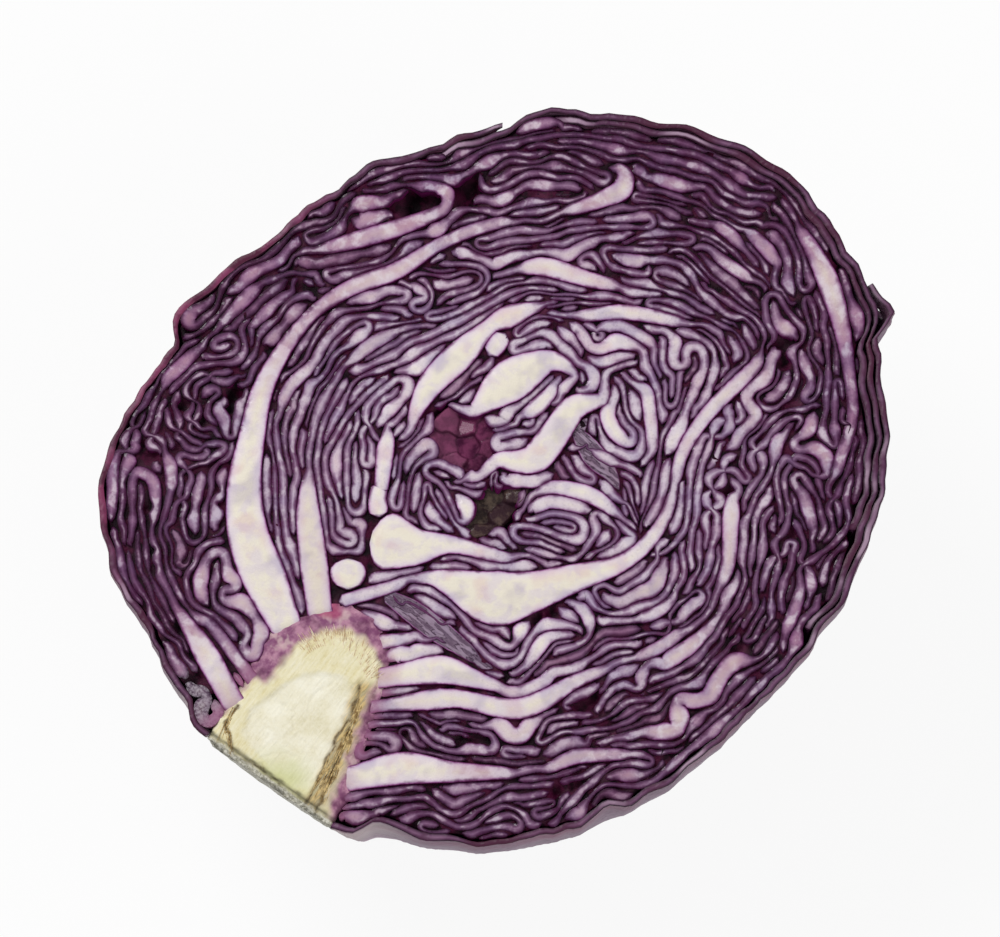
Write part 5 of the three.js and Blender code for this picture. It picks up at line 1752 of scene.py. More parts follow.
@dataclass
class CutFace:
    """All the leaves inside the head, from the large ribs to the smallest folds."""

    head: Head
    frame: dict
    seed: int = 11
    deepest: float = 0.42
    spacing: tuple = (2.7, 1.45)
    torn_leaf: tuple[float, float] = (-57.5, -44)
    # Slivers in what is left: pitch, half thickness, shortest length and seed.
    slivers: tuple = ((0.98, 0.4, 1.6, 12), (0.7, 0.26, 1.4, 13))

    def leaf_lines(self) -> dict[str, np.ndarray]:
        """Middle line and width of every solid leaf, and of the folds too small to be solids."""
        lines = {}
        for name, piece in self.frame["nodes"].items():
            if name == "core_stump" or name.startswith("wrapper"):
                continue
            strip = strip_line(top_loop(piece, self.head))
            if name == "axil_bud":
                strip[:, 2] *= 1.35
            apart = np.r_[True, lengths(np.diff(strip[:, :2], axis=0)) > 0.3]
            fine = spaced(curve_through(strip[apart], 12), 0.25)
            lines[name] = np.column_stack([evened(column, 8) for column in fine.T])
        lines = self.pointed(lines)
        for kind, folds in (("small", SMALL_FOLDS), ("sheet", FLAT_SHEETS)):
            for number, points in enumerate(folds):
                rows = np.array([(*point, 1.4)[:3] for point in points])
                lines[f"{kind}_{number}"] = spaced(curve_through(rows), 0.25)
        return {name: np.column_stack([rows, np.ones(len(rows))]) for name, rows in lines.items()}

    def pointed(self, lines: dict[str, np.ndarray], stout: float = 1.7, near_core: float = 6.0) -> dict:
        """Run blunt ends of ribs on: straight into the core, or to a point where there is room.

        Args:
            lines: rows of x, y and width for each leaf.
            stout: width above which an end is blunt.
            near_core: how near the core an end has to be to grow out of it.

        Returns:
            The lengthened rows by name.
        """
        core = FoldGrowth(self.head).core_discs()
        longer = {}
        for name, rows in lines.items():
            others = np.vstack([line[:, :3] for other, line in lines.items() if other != name])
            for _ in range(2):
                rows = rows[::-1]
                tip = rows[-1]
                if tip[2] < stout or name == "axil_bud":
                    continue
                ahead = tip[:2] - rows[-5, :2]
                ahead = ahead / math.hypot(*ahead)
                to_core = core[lengths(core - tip[:2]).argmin()] - tip[:2]
                away = math.hypot(*to_core)
                grows_out = away < near_core and ahead @ to_core / away > 0.5
                reach = away + 1.9 if grows_out else 1.4 * tip[2] + 1.0
                added = []
                for run in np.arange(0.25, reach, 0.25):
                    width = tip[2] if grows_out else tip[2] * (1 - run / reach) ** 0.6
                    there = tip[:2] + run * ahead
                    free = (lengths(others[:, :2] - there) - others[:, 2] / 2).min()
                    if not grows_out and free < width / 2 + 0.2:
                        break
                    added.append([*there, max(width, 0.4)])
                if added:
                    rows = np.vstack([rows, added])
            longer[name] = rows
        return longer

    def grow(self) -> tuple[Folds, Clearance]:
        """Fill the face in two rounds: wide apart and crinkling strongly, then into what is left."""
        growth = FoldGrowth(self.head)
        leaves = self.leaf_lines()
        fills = growth.fill(leaves, pitch=self.spacing[0], stop=0.45, half=0.45, shortest=3.2, soft=3.0,
                            ring_pull=0.04, join=3.2, seed=4)
        folds = growth.chain(leaves, fills, leaf_growth=1.12, fill_growth=1.65, seed=7, kind=FoldKind.FIRST)
        log.info("first folds: %d, points %d", len(folds.names), len(folds.points))
        growth.crinkle(folds, len(leaves), rounds=1100, hold=0.01, seed=3)
        lines = folds.lines()
        wide = {name: np.column_stack([rows[:, :2], np.maximum(rows[:, 2], 1.2 * rows[:, 3])])
                for name, rows in lines.items()}
        fills = growth.fill(wide, pitch=self.spacing[1], stop=0.6, half=0.6, shortest=2.0, soft=0.6,
                            ring_pull=0.004, join=2.6, seed=9)
        folds = growth.chain(lines, fills, leaf_growth=1.03, fill_growth=1.15, seed=7, kind=FoldKind.SECOND)
        growth.crinkle(folds, len(leaves), rounds=260, hold=0.003, seed=5)
        before = len(folds.names)
        joined = growth.turn_back(folds, set(self.frame["nodes"]))
        folds = growth.chain(joined, [], leaf_growth=1.0, fill_growth=1.0, seed=7, kind=FoldKind.SECOND)
        log.info("hairpins: %d", before - len(folds.names))
        held = sum(name in leaves for name in folds.names)
        room = growth.crinkle(folds, held, rounds=260, hold=0.003, seed=6)
        blades = Blades(self.head)
        for pitch, half, shortest, seed in self.slivers:
            folds = blades.stretch_tips(folds, room)
            sides, normal = blades.thickness(folds, room)
            middle = folds.points + 0.5 * (sides[:, :1] - sides[:, 1:]) * normal
            real = replace(folds, points=middle, half=sides.mean(1)).lines()
            fills = growth.fill(real, pitch=pitch, stop=0.62, half=half, shortest=shortest, soft=0.6,
                                ring_pull=0.004, join=1.2, seed=seed)
            folds = growth.chain(folds.lines(), fills, leaf_growth=1.0, fill_growth=1.0, seed=seed,
                                 kind=FoldKind.SLIVER)
        log.info("all folds: %d, points %d", len(folds.names), len(folds.points))
        return folds, room

    def owners(self, shaped: dict[str, np.ndarray]) -> dict[str, str]:
        """The solid leaf that each fold belongs to: its own, or the nearest one."""
        nodes = [name for name in shaped if name in self.frame["nodes"]]
        points = np.vstack([shaped[name][:, :2] for name in nodes])
        owner = np.concatenate([np.full(len(shaped[name]), number) for number, name in enumerate(nodes)])
        found = {}
        for name, rows in shaped.items():
            if name in self.frame["nodes"]:
                found[name] = name
                continue
            sample = rows[:: max(1, len(rows) // 12), :2]
            near = owner[lengths(points[None] - sample[:, None]).argmin(1)]
            found[name] = nodes[np.bincount(near).argmax()]
        return found

    def build(self) -> None:
        """Grow the folds and make one piece for every solid leaf."""
        folds, room = self.grow()
        blades = Blades(self.head)
        folds = blades.stretch_tips(folds, room)
        shaped = blades.shaped(folds, room)
        owners = self.owners(shaped)
        strips = LeafStrips(self.head)
        material = CutLeaf().material()
        rng = np.random.default_rng(self.seed)
        cream = np.array(CREAM_EDGE, float)
        core = self.head.core_ring()
        parts = defaultdict(MeshParts)
        for name, rows in shaped.items():
            kind = FoldKind.of(name)
            half = (rows[:, 2] + rows[:, 3]) / 2
            sunk = self.deepest * (0.5 + 0.5 * waves(rng, rows[:, :2], 9.0))
            sunk = sunk * smoothstep(2.2 - half, 0.0, 1.6)
            drop = np.clip(sunk + kind.drop * rng.uniform(0.6, 1.4), 0.03, 1.8)
            drop = drop + 0.8 * smoothstep(-outside_of(rows[:, :2], core), -0.3, 0.9)
            share = self.head.polar(rows[:, :2])[1]
            outer = smoothstep(share, 0.42, 0.95) * (1 - 0.22 * smoothstep(-rows[:, 1], 28, 48))
            stain = 1 - smoothstep(outside_of(rows[:, :2], cream), 1.0, 5.0)
            torn = np.exp(-(lengths(rows[:, :2] - self.torn_leaf) / 5) ** 4)
            tone = kind.tone
            if kind is not FoldKind.SHEET:
                tone = float(np.clip(tone + rng.normal(0, 0.3), -1.3, 1))
            marks = {"outer": outer, "stain": stain, "torn": torn}
            marks = {mark: np.repeat(value, strips.ring_size) for mark, value in marks.items()}
            strips.add(parts[owners[name]], rows, drop, rng.uniform(-0.07, 0.07), tone=tone, **marks)
        for node, body in parts.items():
            piece = body.piece(f"{node}_folds", self.head)
            piece.data.materials.append(material)
            settle(piece, node)


CREAM_EDGE = (
    (-55, -51), (-50.6, -46), (-48, -42), (-46, -40.5), (-43, -41), (-41, -38.6), (-38.6, -35),
    (-36, -32.6), (-33, -31), (-28, -30.6), (-24.4, -33), (-22, -36.6), (-22, -40), (-24, -43),
    (-25.5, -47), (-27, -52), (-29, -58), (-31.4, -63), (-32, -70))
PITH_EDGE = (
    (-46.6, -46), (-41.5, -42), (-38, -39.5), (-34, -38.5), (-29.5, -39), (-26.5, -41), (-27, -45),
    (-29, -50.5), (-31.4, -55), (-33.5, -59), (-35.5, -62), (-40, -60), (-45, -55), (-48, -50))
CORE_CRACKS = (
    ((-48.6, -45), (-50.6, -48.4), (-50, -52), (-48.4, -55.4), (-45, -56.6), (-41.4, -60), (-37, -64.4)),
    ((-25.6, -41.6), (-27, -46.6), (-30, -51.6), (-32.4, -57), (-35.4, -63.6), (-36.4, -65)),
    ((-27.4, -50), (-29.6, -55), (-31.6, -60.5), (-34, -66)))
PITH_SEAMS = (
    ((-42.4, -43.6), (-38.4, -46.6), (-37.6, -50.6), (-34, -54)),
    ((-45, -55.4), (-41, -54.4), (-37.6, -55)),
    ((-30.6, -40.6), (-34.4, -43.4), (-35.8, -48.2)))
# The brown seam down one side of the pith.
BROWN_SEAM = ((-25, -42), (-27.6, -50), (-30.6, -57), (-34.8, -65.4))
BUTT_LINE = ((-54.4, -51.4), (-30.6, -68.5))
# Direction out of the head through the stem.
PAST_BUTT = np.array([math.cos(math.radians(STEM_AXIS)), math.sin(math.radians(STEM_AXIS))])
FRINGE = ((-36.8, -33.6), (-33.6, -31.8), (-30, -31.4), (-26.6, -33), (-23.8, -36), (-22.4, -39.8))
STRANDS = (
    ((-24.4, -41.6), (-25.6, -45), (-27.4, -49.4), (-30.2, -54), (-33, -59.4)),
    ((-25.6, -45), (-27, -49), (-29, -53.4), (-32.4, -60.6)),
    ((-27, -50), (-28.8, -55), (-31.6, -61.4)),
    ((-49.2, -45.6), (-50.6, -48.6), (-50.4, -51)))


@dataclass
class Core:
    """The cut stem, with its pith, its cracks, the stain round its top and its rough butt."""

    head: Head
    across: int = 110
    along: int = 130
    under: int = 28
    roundness: float = 0.92
    crack_depth: float = 0.5
    crack_width: float = 0.2
    collar: float = 1.5
    lean: float = 0.12

    def relief(self, flat: np.ndarray, rng: np.random.Generator) -> np.ndarray:
        """Height of the cut stem above or below the cut face."""
        pith = outside_of(flat, np.array(PITH_EDGE, float))
        past = outside_of(flat, self.head.core_ring())
        height = 0.1 * waves(rng, flat, 6.0) + 0.05 * waves(rng, flat, 1.6, 9)
        height = height - 0.25 * smoothstep(-pith, -0.4, 0.9) + 0.1 * np.exp(-(pith / 0.7) ** 2)
        height = height - (0.4 - 0.25 * waves(rng, flat, 2.4)) * smoothstep(past, -0.8, 0.6)
        for lines, depth in ((CORE_CRACKS, self.crack_depth), (PITH_SEAMS, 0.16)):
            for crack in lines:
                line = curve_through(np.array(crack, float), 6)
                wander = 0.3 * waves(rng, flat, 2.2)
                away = distance_to_line(flat + wander[:, None], line)
                broad = self.crack_width * (1 + 0.6 * waves(rng, flat, 3.0))
                height = height - depth * np.exp(-(away / np.maximum(broad, 0.06)) ** 2)
        return height - 0.1

    def edges(self) -> np.ndarray:
        """Left and right edge of the cut stem from the butt up, with the collar that the leaves grow from."""
        rows = np.vstack([self.head.core_edges, (-31.4, -25.4, -29, -25.2)])
        rows = spaced_rows(rows, self.along)
        aside = rows[:, 2:] - rows[:, :2]
        aside /= lengths(aside)[:, None]
        width = (self.collar * smoothstep(np.arange(self.along), 2, 16))[:, None]
        return np.column_stack([rows[:, :2] - width * aside, rows[:, 2:] + width * aside])

    def build(self) -> None:
        """Make the stem as one closed body."""
        rng = np.random.default_rng(5)
        rows = self.edges()
        share = np.linspace(0, 1, self.across)[None, :, None]
        flat = rows[:, None, :2] * (1 - share) + rows[:, None, 2:] * share
        height = self.relief(flat.reshape(-1, 2), rng).reshape(flat.shape[:2])
        rim = np.minimum(np.arange(self.across), np.arange(self.across)[::-1]) / 3
        height = height - 0.35 * (1 - np.minimum(rim, 1)) ** 2
        top = np.concatenate([flat, (self.head.cut_height + height)[..., None]], axis=2)
        middle = (rows[:, :2] + rows[:, 2:]) / 2
        half = lengths(rows[:, 2:] - rows[:, :2]) / 2
        aside = (rows[:, 2:] - rows[:, :2]) / (2 * half[:, None])
        angle = np.linspace(0, np.pi, self.under + 2)[1:-1]
        reach = half[:, None] * np.cos(angle)
        below = middle[:, None] + aside[:, None] * reach[..., None]
        depth = self.head.cut_height - 0.4 - half[:, None] * self.roundness * np.sin(angle)
        lower = np.concatenate([below, depth[..., None]], axis=2)
        ring = np.concatenate([top, lower], axis=1)
        size = ring.shape[1]
        lean = self.lean * (1 - smoothstep(np.arange(self.along), 0, 22))[:, None]
        depth_below = np.maximum(self.head.cut_height - 0.6 - ring[..., 2], 0)
        ring[..., :2] -= (lean * depth_below)[..., None] * PAST_BUTT
        points = ring.reshape(-1, 3)
        faces = ring_faces(self.along, size).tolist()
        butt, butt_faces = self.butt(ring[0], rng)
        shift = len(points) - size
        faces.extend([vertex + shift * (vertex >= size) for vertex in face[::-1]] for face in butt_faces)
        faces.append([shift + number for number in range(size)])
        points = np.vstack([points, butt])
        parts = MeshParts()
        parts.add(points, faces, **self.marks(points, rng))
        piece = parts.piece("core_flesh", self.head)
        piece.data.materials.append(CoreFlesh().material())
        settle(piece, "core_stump")

    def butt(self, ring: np.ndarray, rng: np.random.Generator) -> tuple[np.ndarray, list[list[int]]]:
        """Rough, slightly hollow end of the stem, as rings that close on a middle point."""
        centre = ring.mean(0)
        outwards = np.append(PAST_BUTT, 0.0)
        size = len(ring)
        loops = []
        shares = (0.97, 0.93, 0.86, 0.76, 0.64, 0.52, 0.4, 0.28, 0.16)
        for share in shares:
            loop = centre + (ring - centre) * share
            rough = 0.22 * waves(rng, loop, 3.0) + 0.12 * waves(rng, loop, 1.2, 9)
            hollow = 0.5 - 1.5 * (1 - share) ** 1.5
            loops.append(loop + outwards * (rough + hollow * (share < 0.95))[:, None])
        points = np.vstack(loops + [centre[None] - outwards * 0.9])
        faces = ring_faces(len(shares) + 1, size).tolist()
        last = len(shares) * size
        faces.extend([last + number, last + (number + 1) % size, last + size] for number in range(size))
        return points, faces

    def marks(self, points: np.ndarray, rng: np.random.Generator) -> dict[str, np.ndarray]:
        """Vertex values for the colours of the stem."""
        flat = points[:, :2]
        wander = flat + 0.6 * np.column_stack([waves(rng, flat, 3.5), waves(rng, flat, 3.5)])
        cream = outside_of(wander, np.array(CREAM_EDGE, float))
        pith = outside_of(wander, np.array(PITH_EDGE, float))
        band = distance_to_line(wander, np.array(BROWN_SEAM))
        green = lengths(wander - [-41, -61]) / 7
        first, last = np.array(BUTT_LINE)
        outwards = np.array([last[1] - first[1], first[0] - last[0]]) / math.hypot(*(last - first))
        past_butt = (flat - first) @ outwards + 0.25 * waves(rng, flat, 2.0)
        cracks = [distance_to_line(wander, curve_through(np.array(line, float), 6)) for line in CORE_CRACKS]
        crack = np.min(cracks, axis=0)
        buried = points[:, 2] < self.head.cut_height - 3
        butt = np.maximum(smoothstep(past_butt, -1.0, -0.3), buried * 1.0)
        return {"stain": smoothstep(cream, -0.8, 1.4) * (1 - butt), "pith": smoothstep(-pith, -0.5, 0.9),
                "pink": 0.8 - 0.8 * smoothstep(lengths(wander - [-31, -26.4]), 0.9, 3.0),
                "brown": 1 - smoothstep(band, 0.6, 3.0), "green": 1 - smoothstep(green, 0.3, 1.4),
                "butt": butt,
                "rind": np.exp(-((past_butt + 1.2) / 0.4) ** 2) * ~buried,
                "crack": 1 - smoothstep(crack, 0.05, 0.42 + 0.25 * waves(rng, flat, 3.0))}


@dataclass
class Strands:
    """Thin fibres along guide lines, laid by Geometry Nodes."""

    name: str
    finish: Fibre
    spacing: float
    length: float
    girth: float
    scatter: float
    seed: int = 3

    def guide(self, lines: list[np.ndarray], leans: list[np.ndarray], head: Head) -> bpy.types.Object:
        """Lines as a mesh of edges, with the direction in which the fibres lie at each point."""
        points = head.metres(np.vstack(lines))
        edges, start = [], 0
        for line in lines:
            edges.extend((start + number, start + number + 1) for number in range(len(line) - 1))
            start += len(line)
        mesh = bpy.data.meshes.new(f"{self.name}_guide")
        mesh.from_pydata(points.tolist(), edges, [])
        lean = mesh.attributes.new("lean", "FLOAT_VECTOR", "POINT")
        lean.data.foreach_set("vector", np.vstack(leans).astype(np.float32).ravel())
        return placed(f"{self.name}_guide", mesh)

    def tree(self) -> tuple[bpy.types.NodeTree, dict[str, str]]:
        """Node tree that lays a fibre at every step of the lines.

        Returns:
            The tree, and the identifier of each named input.
        """
        tree = bpy.data.node_groups.new(self.name, "GeometryNodeTree")
        face = tree.interface
        face.new_socket("Geometry", in_out="INPUT", socket_type="NodeSocketGeometry")
        keys = {label: face.new_socket(label, in_out="INPUT", socket_type="NodeSocketFloat").identifier
                for label in ("Spacing", "Length", "Girth", "Scatter")}
        face.new_socket("Geometry", in_out="OUTPUT", socket_type="NodeSocketGeometry")

        def node(kind: str, settings: dict | None = None, inputs: dict | None = None) -> bpy.types.Node:
            """Add a node to this tree, see add_node."""
            return add_node(tree, kind, settings, inputs)

        given = node("NodeGroupInput").outputs
        curve = node("GeometryNodeMeshToCurve", None, {"Mesh": given["Geometry"]})
        steps = node("GeometryNodeResampleCurve", {"mode": "LENGTH"},
                     {"Curve": curve.outputs[0], "Length": given["Spacing"]})
        tip = node("ShaderNodeMath", {"operation": "MULTIPLY"}, {0: given["Girth"], 1: 0.25})
        spindle = node("GeometryNodeMeshCone", None,
                       {"Vertices": 6, "Side Segments": 2, "Radius Top": tip.outputs[0],
                        "Radius Bottom": given["Girth"], "Depth": given["Length"]})
        low = node("ShaderNodeMath", {"operation": "MULTIPLY"}, {0: given["Scatter"], 1: -1.0})
        shake = node("FunctionNodeRandomValue", {"data_type": "FLOAT_VECTOR"},
                     {"Min": low.outputs[0], "Max": given["Scatter"], "Seed": self.seed})
        lean = node("GeometryNodeInputNamedAttribute", {"data_type": "FLOAT_VECTOR"}, {"Name": "lean"})
        aim = node("ShaderNodeVectorMath", {"operation": "ADD"}, {0: lean.outputs[0], 1: shake.outputs[0]})
        turn = node("FunctionNodeAlignRotationToVector", {"axis": "Z"}, {"Vector": aim.outputs[0]})
        size = node("FunctionNodeRandomValue", {"data_type": "FLOAT"},
                    {2: 0.5, 3: 1.25, "Seed": self.seed + 1})
        laid = node("GeometryNodeInstanceOnPoints", None,
                    {"Points": steps.outputs[0], "Instance": spindle.outputs["Mesh"],
                     "Rotation": turn.outputs[0], "Scale": size.outputs[1]})
        real = node("GeometryNodeRealizeInstances", None, {0: laid.outputs[0]})
        dressed = node("GeometryNodeSetMaterial", None,
                       {0: real.outputs[0], "Material": self.finish.material()})
        node("NodeGroupOutput", None, {0: dressed.outputs[0]})
        return tree, keys

    def build(self, lines: list[np.ndarray], leans: list[np.ndarray], head: Head) -> None:
        """Lay the fibres and keep them as a plain mesh.

        Args:
            lines: points of the guide lines, in mm of the head's own frame.
            leans: direction of the fibres at each point.
            head: the half head.
        """
        guide = self.guide(lines, leans, head)
        tree, keys = self.tree()
        modifier = guide.modifiers.new(self.name, "NODES")
        modifier.node_group = tree
        sizes = {"Spacing": self.spacing * MM, "Length": self.length * MM, "Girth": self.girth * MM,
                 "Scatter": self.scatter}
        for label, value in sizes.items():
            modifier[keys[label]] = value
        graph = bpy.context.evaluated_depsgraph_get()
        mesh = bpy.data.meshes.new_from_object(guide.evaluated_get(graph), depsgraph=graph)
        mesh.name = self.name
        bpy.data.objects.remove(guide)
        settle(placed(self.name, mesh))


@dataclass
class CoreFibres:
    """Fibres of the cut stem: the fringe round its top and the torn strands down its sides."""

    head: Head
    middle: tuple[float, float] = (-32.5, -44)

    def build(self) -> None:
        """Lay both kinds of fibre."""
        top = self.head.cut_height
        fringe, leans = [], []
        for inset in (0.0, 1.0, 2.1):
            line = spaced(curve_through(np.array(FRINGE, float)), 0.4)
            outwards = line - self.middle
            outwards /= lengths(outwards)[:, None]
            swirl = outwards + 0.35 * np.column_stack([-outwards[:, 1], outwards[:, 0]])
            place = line - inset * outwards
            fringe.append(np.column_stack([place, np.full(len(line), top - 0.14)]))
            leans.append(np.column_stack([swirl, np.full(len(line), 0.03)]))
        cream = Fibre("fringe_fibre", (200, 170, 134), (238, 226, 196))
        tufts = Strands("core_fringe", cream, spacing=0.4, length=2.1, girth=0.11, scatter=0.16)
        tufts.build(fringe, leans, self.head)
        strands, leans = [], []
        for guide in STRANDS:
            line = spaced(curve_through(np.array(guide, float)), 0.5)
            along = np.gradient(line, axis=0)
            along /= lengths(along)[:, None]
            for aside in (-0.4, 0.0, 0.4):
                place = line + aside * np.column_stack([-along[:, 1], along[:, 0]])
                strands.append(np.column_stack([place, np.full(len(line), top - 0.2)]))
                leans.append(np.column_stack([along, np.zeros(len(line))]))
        ochre = Fibre("strand_fibre", (140, 110, 62), (222, 196, 138))
        torn = Strands("core_strands", ochre, spacing=0.9, length=3.6, girth=0.11, scatter=0.12, seed=9)
        torn.build(strands, leans, self.head)


# Name, olive share, outline, and crests with their x, y, height and paleness.
HEART_LEAVES = (
    ("young_leaf", 0.0,
     ((-8.5, 14), (-4.6, 12.8), (-0.4, 12), (1.8, 9.6), (1.4, 5), (-0.6, 2), (-3.6, 0.2), (-8, -0.6),
      (-11, 1.4), (-12.4, 5.6), (-13.6, 8.8), (-11.4, 11.6)),
     ((-8.6, 10.4, 0.9, 0.5), (-5, 9.8, 1.5, 0.1), (-1.6, 9, 1.6, 0), (-9.4, 5.8, 1.2, 0.35),
      (-5, 5.4, 2.3, 0), (-1.4, 5, 1.8, 0.15), (-7.8, 2.4, 1.0, 0.45), (-3.6, 2, 2.2, 0))),
    ("curled_leaf", 1.0,
     ((0.4, 1.8), (3, -0.4), (6.4, -1), (7, -3.4), (4.6, -6.6), (2.2, -9.6), (-0.6, -12), (-4.4, -13),
      (-6.4, -10.4), (-5.4, -6.8), (-3.8, -3.4), (-2, 0.2)),
     ((1.2, -1.4, 1.8, 0), (3.4, -3.4, 1.1, 0.1), (-0.6, -5, 1.7, 0), (1, -7.4, 1.2, 0.1),
      (-3.2, -8.4, 1.5, 0), (-2.4, -11, 1.1, 0.1))))


@dataclass
class LeafFaces:
    """Leaf faces that show in the gaps of the cut: crumpled ones everywhere, two large ones at the heart."""

    head: Head
    rings: int = 64
    spokes: int = 320
    depth: float = 0.75
    thickness: float = 0.8
    deepest: float = 6.0

    def plate(self, parts: MeshParts, flat: np.ndarray, height: np.ndarray, **values: np.ndarray) -> None:
        """Add a closed plate.

        Args:
            parts: the mesh that it joins.
            flat: x and y of points on rings that grow outwards.
            height: how far each point lies above the cut face.
            values: one number per point for each named attribute.
        """
        shape = flat.shape[:2]
        top = np.concatenate([flat, (self.head.cut_height + height).reshape(*shape, 1)], axis=2)
        under = top[::-1] - [0, 0, self.thickness]
        ring = np.concatenate([top, under])
        rows, size = ring.shape[:2]
        faces = ring_faces(rows, size)[:, ::-1].tolist()
        faces.append(list(range(size)))
        faces.append([(rows - 1) * size + number for number in reversed(range(size))])
        values = {name: value.reshape(shape) for name, value in values.items()}
        both = {name: np.concatenate([value, value[::-1]]).ravel() for name, value in values.items()}
        parts.add(ring.reshape(-1, 3), faces, **both)

    def crumpled(self, parts: MeshParts) -> None:
        """Add the faces that close the crevices a little below the cut, marked deep, which the finish colours
        near black as painted shade.
        """
        rng = np.random.default_rng(17)
        theta = np.linspace(-np.pi, np.pi, self.spokes, endpoint=False)
        reach = self.head.edge_radius(theta) - inner_inset(theta) - 0.4
        from_stem = np.abs(turned(theta, math.radians(STEM_AXIS)))
        reach = reach * (1 - 0.3 * smoothstep(-from_stem, -math.radians(19), -math.radians(11)))
        share = np.linspace(0.01, 1, self.rings)[:, None, None]
        around = np.stack([np.cos(theta), np.sin(theta)], axis=1)
        flat = np.array(self.head.heart) + share * (reach[:, None] * around)[None]
        places = flat.reshape(-1, 2)
        height = -self.depth + 0.25 * waves(rng, places, 3.4)
        for x, y, radius in HOLLOWS:
            sink = min(self.deepest, 1.8 * radius)
            height = np.minimum(height, -sink * np.exp(-(lengths(places - [x, y]) / (radius + 0.2)) ** 4))
        pale = np.clip(0.3 * waves(rng, places, 5.0), 0, 1)
        self.plate(parts, flat, height, olive=np.zeros(len(places)), crease=np.zeros(len(places)),
                   pale=pale, deep=np.ones(len(places)))

    def faceted(self, parts: MeshParts, olive: float, outline: tuple, crests: tuple) -> None:
        """Add one large crumpled face with flat facets."""
        rng = np.random.default_rng(23)
        edge = curve_through(np.array(outline, float), 8, closed=True)[::-1]
        centre = edge.mean(0)
        share = np.linspace(0.02, 1, 40)[:, None, None]
        flat = centre + share * (edge - centre)[None]
        places = flat.reshape(-1, 2)
        wander = places + 0.5 * np.column_stack([waves(rng, places, 3.0), waves(rng, places, 3.0)])
        middle = np.array(crests)
        away = lengths(wander[:, None] - middle[None, :, :2])
        weight = np.exp(-(away ** 2) / 0.9)
        weight /= weight.sum(1, keepdims=True) + 1e-30
        slope = rng.normal(0, 0.16, (len(middle), 2))
        tilt = ((places[:, None] - middle[None, :, :2]) * slope[None]).sum(2)
        height = (weight * (tilt - middle[None, :, 2])).sum(1)
        nearest = np.sort(away, axis=1)
        border = (nearest[:, 1] - nearest[:, 0]) / 2
        rim = smoothstep(np.repeat(share.ravel(), len(edge)), 0.88, 1)
        height = height - 0.18 * np.exp(-(border / 0.2) ** 2) - 2.4 * rim
        self.plate(parts, flat, height, olive=np.full(len(places), olive), deep=np.zeros(len(places)),
                   crease=np.exp(-(border / 0.16) ** 2), pale=(weight * middle[None, :, 3]).sum(1))

    def build(self) -> None:
        """Make the pieces."""
        material = LeafFace().material()
        bodies = {"crevice_leaves": MeshParts()}
        self.crumpled(bodies["crevice_leaves"])
        for name, olive, outline, crests in HEART_LEAVES:
            bodies[name] = MeshParts()
            self.faceted(bodies[name], olive, outline, crests)
        for name, body in bodies.items():
            piece = body.piece(name, self.head)
            piece.data.materials.append(material)
            settle(piece)


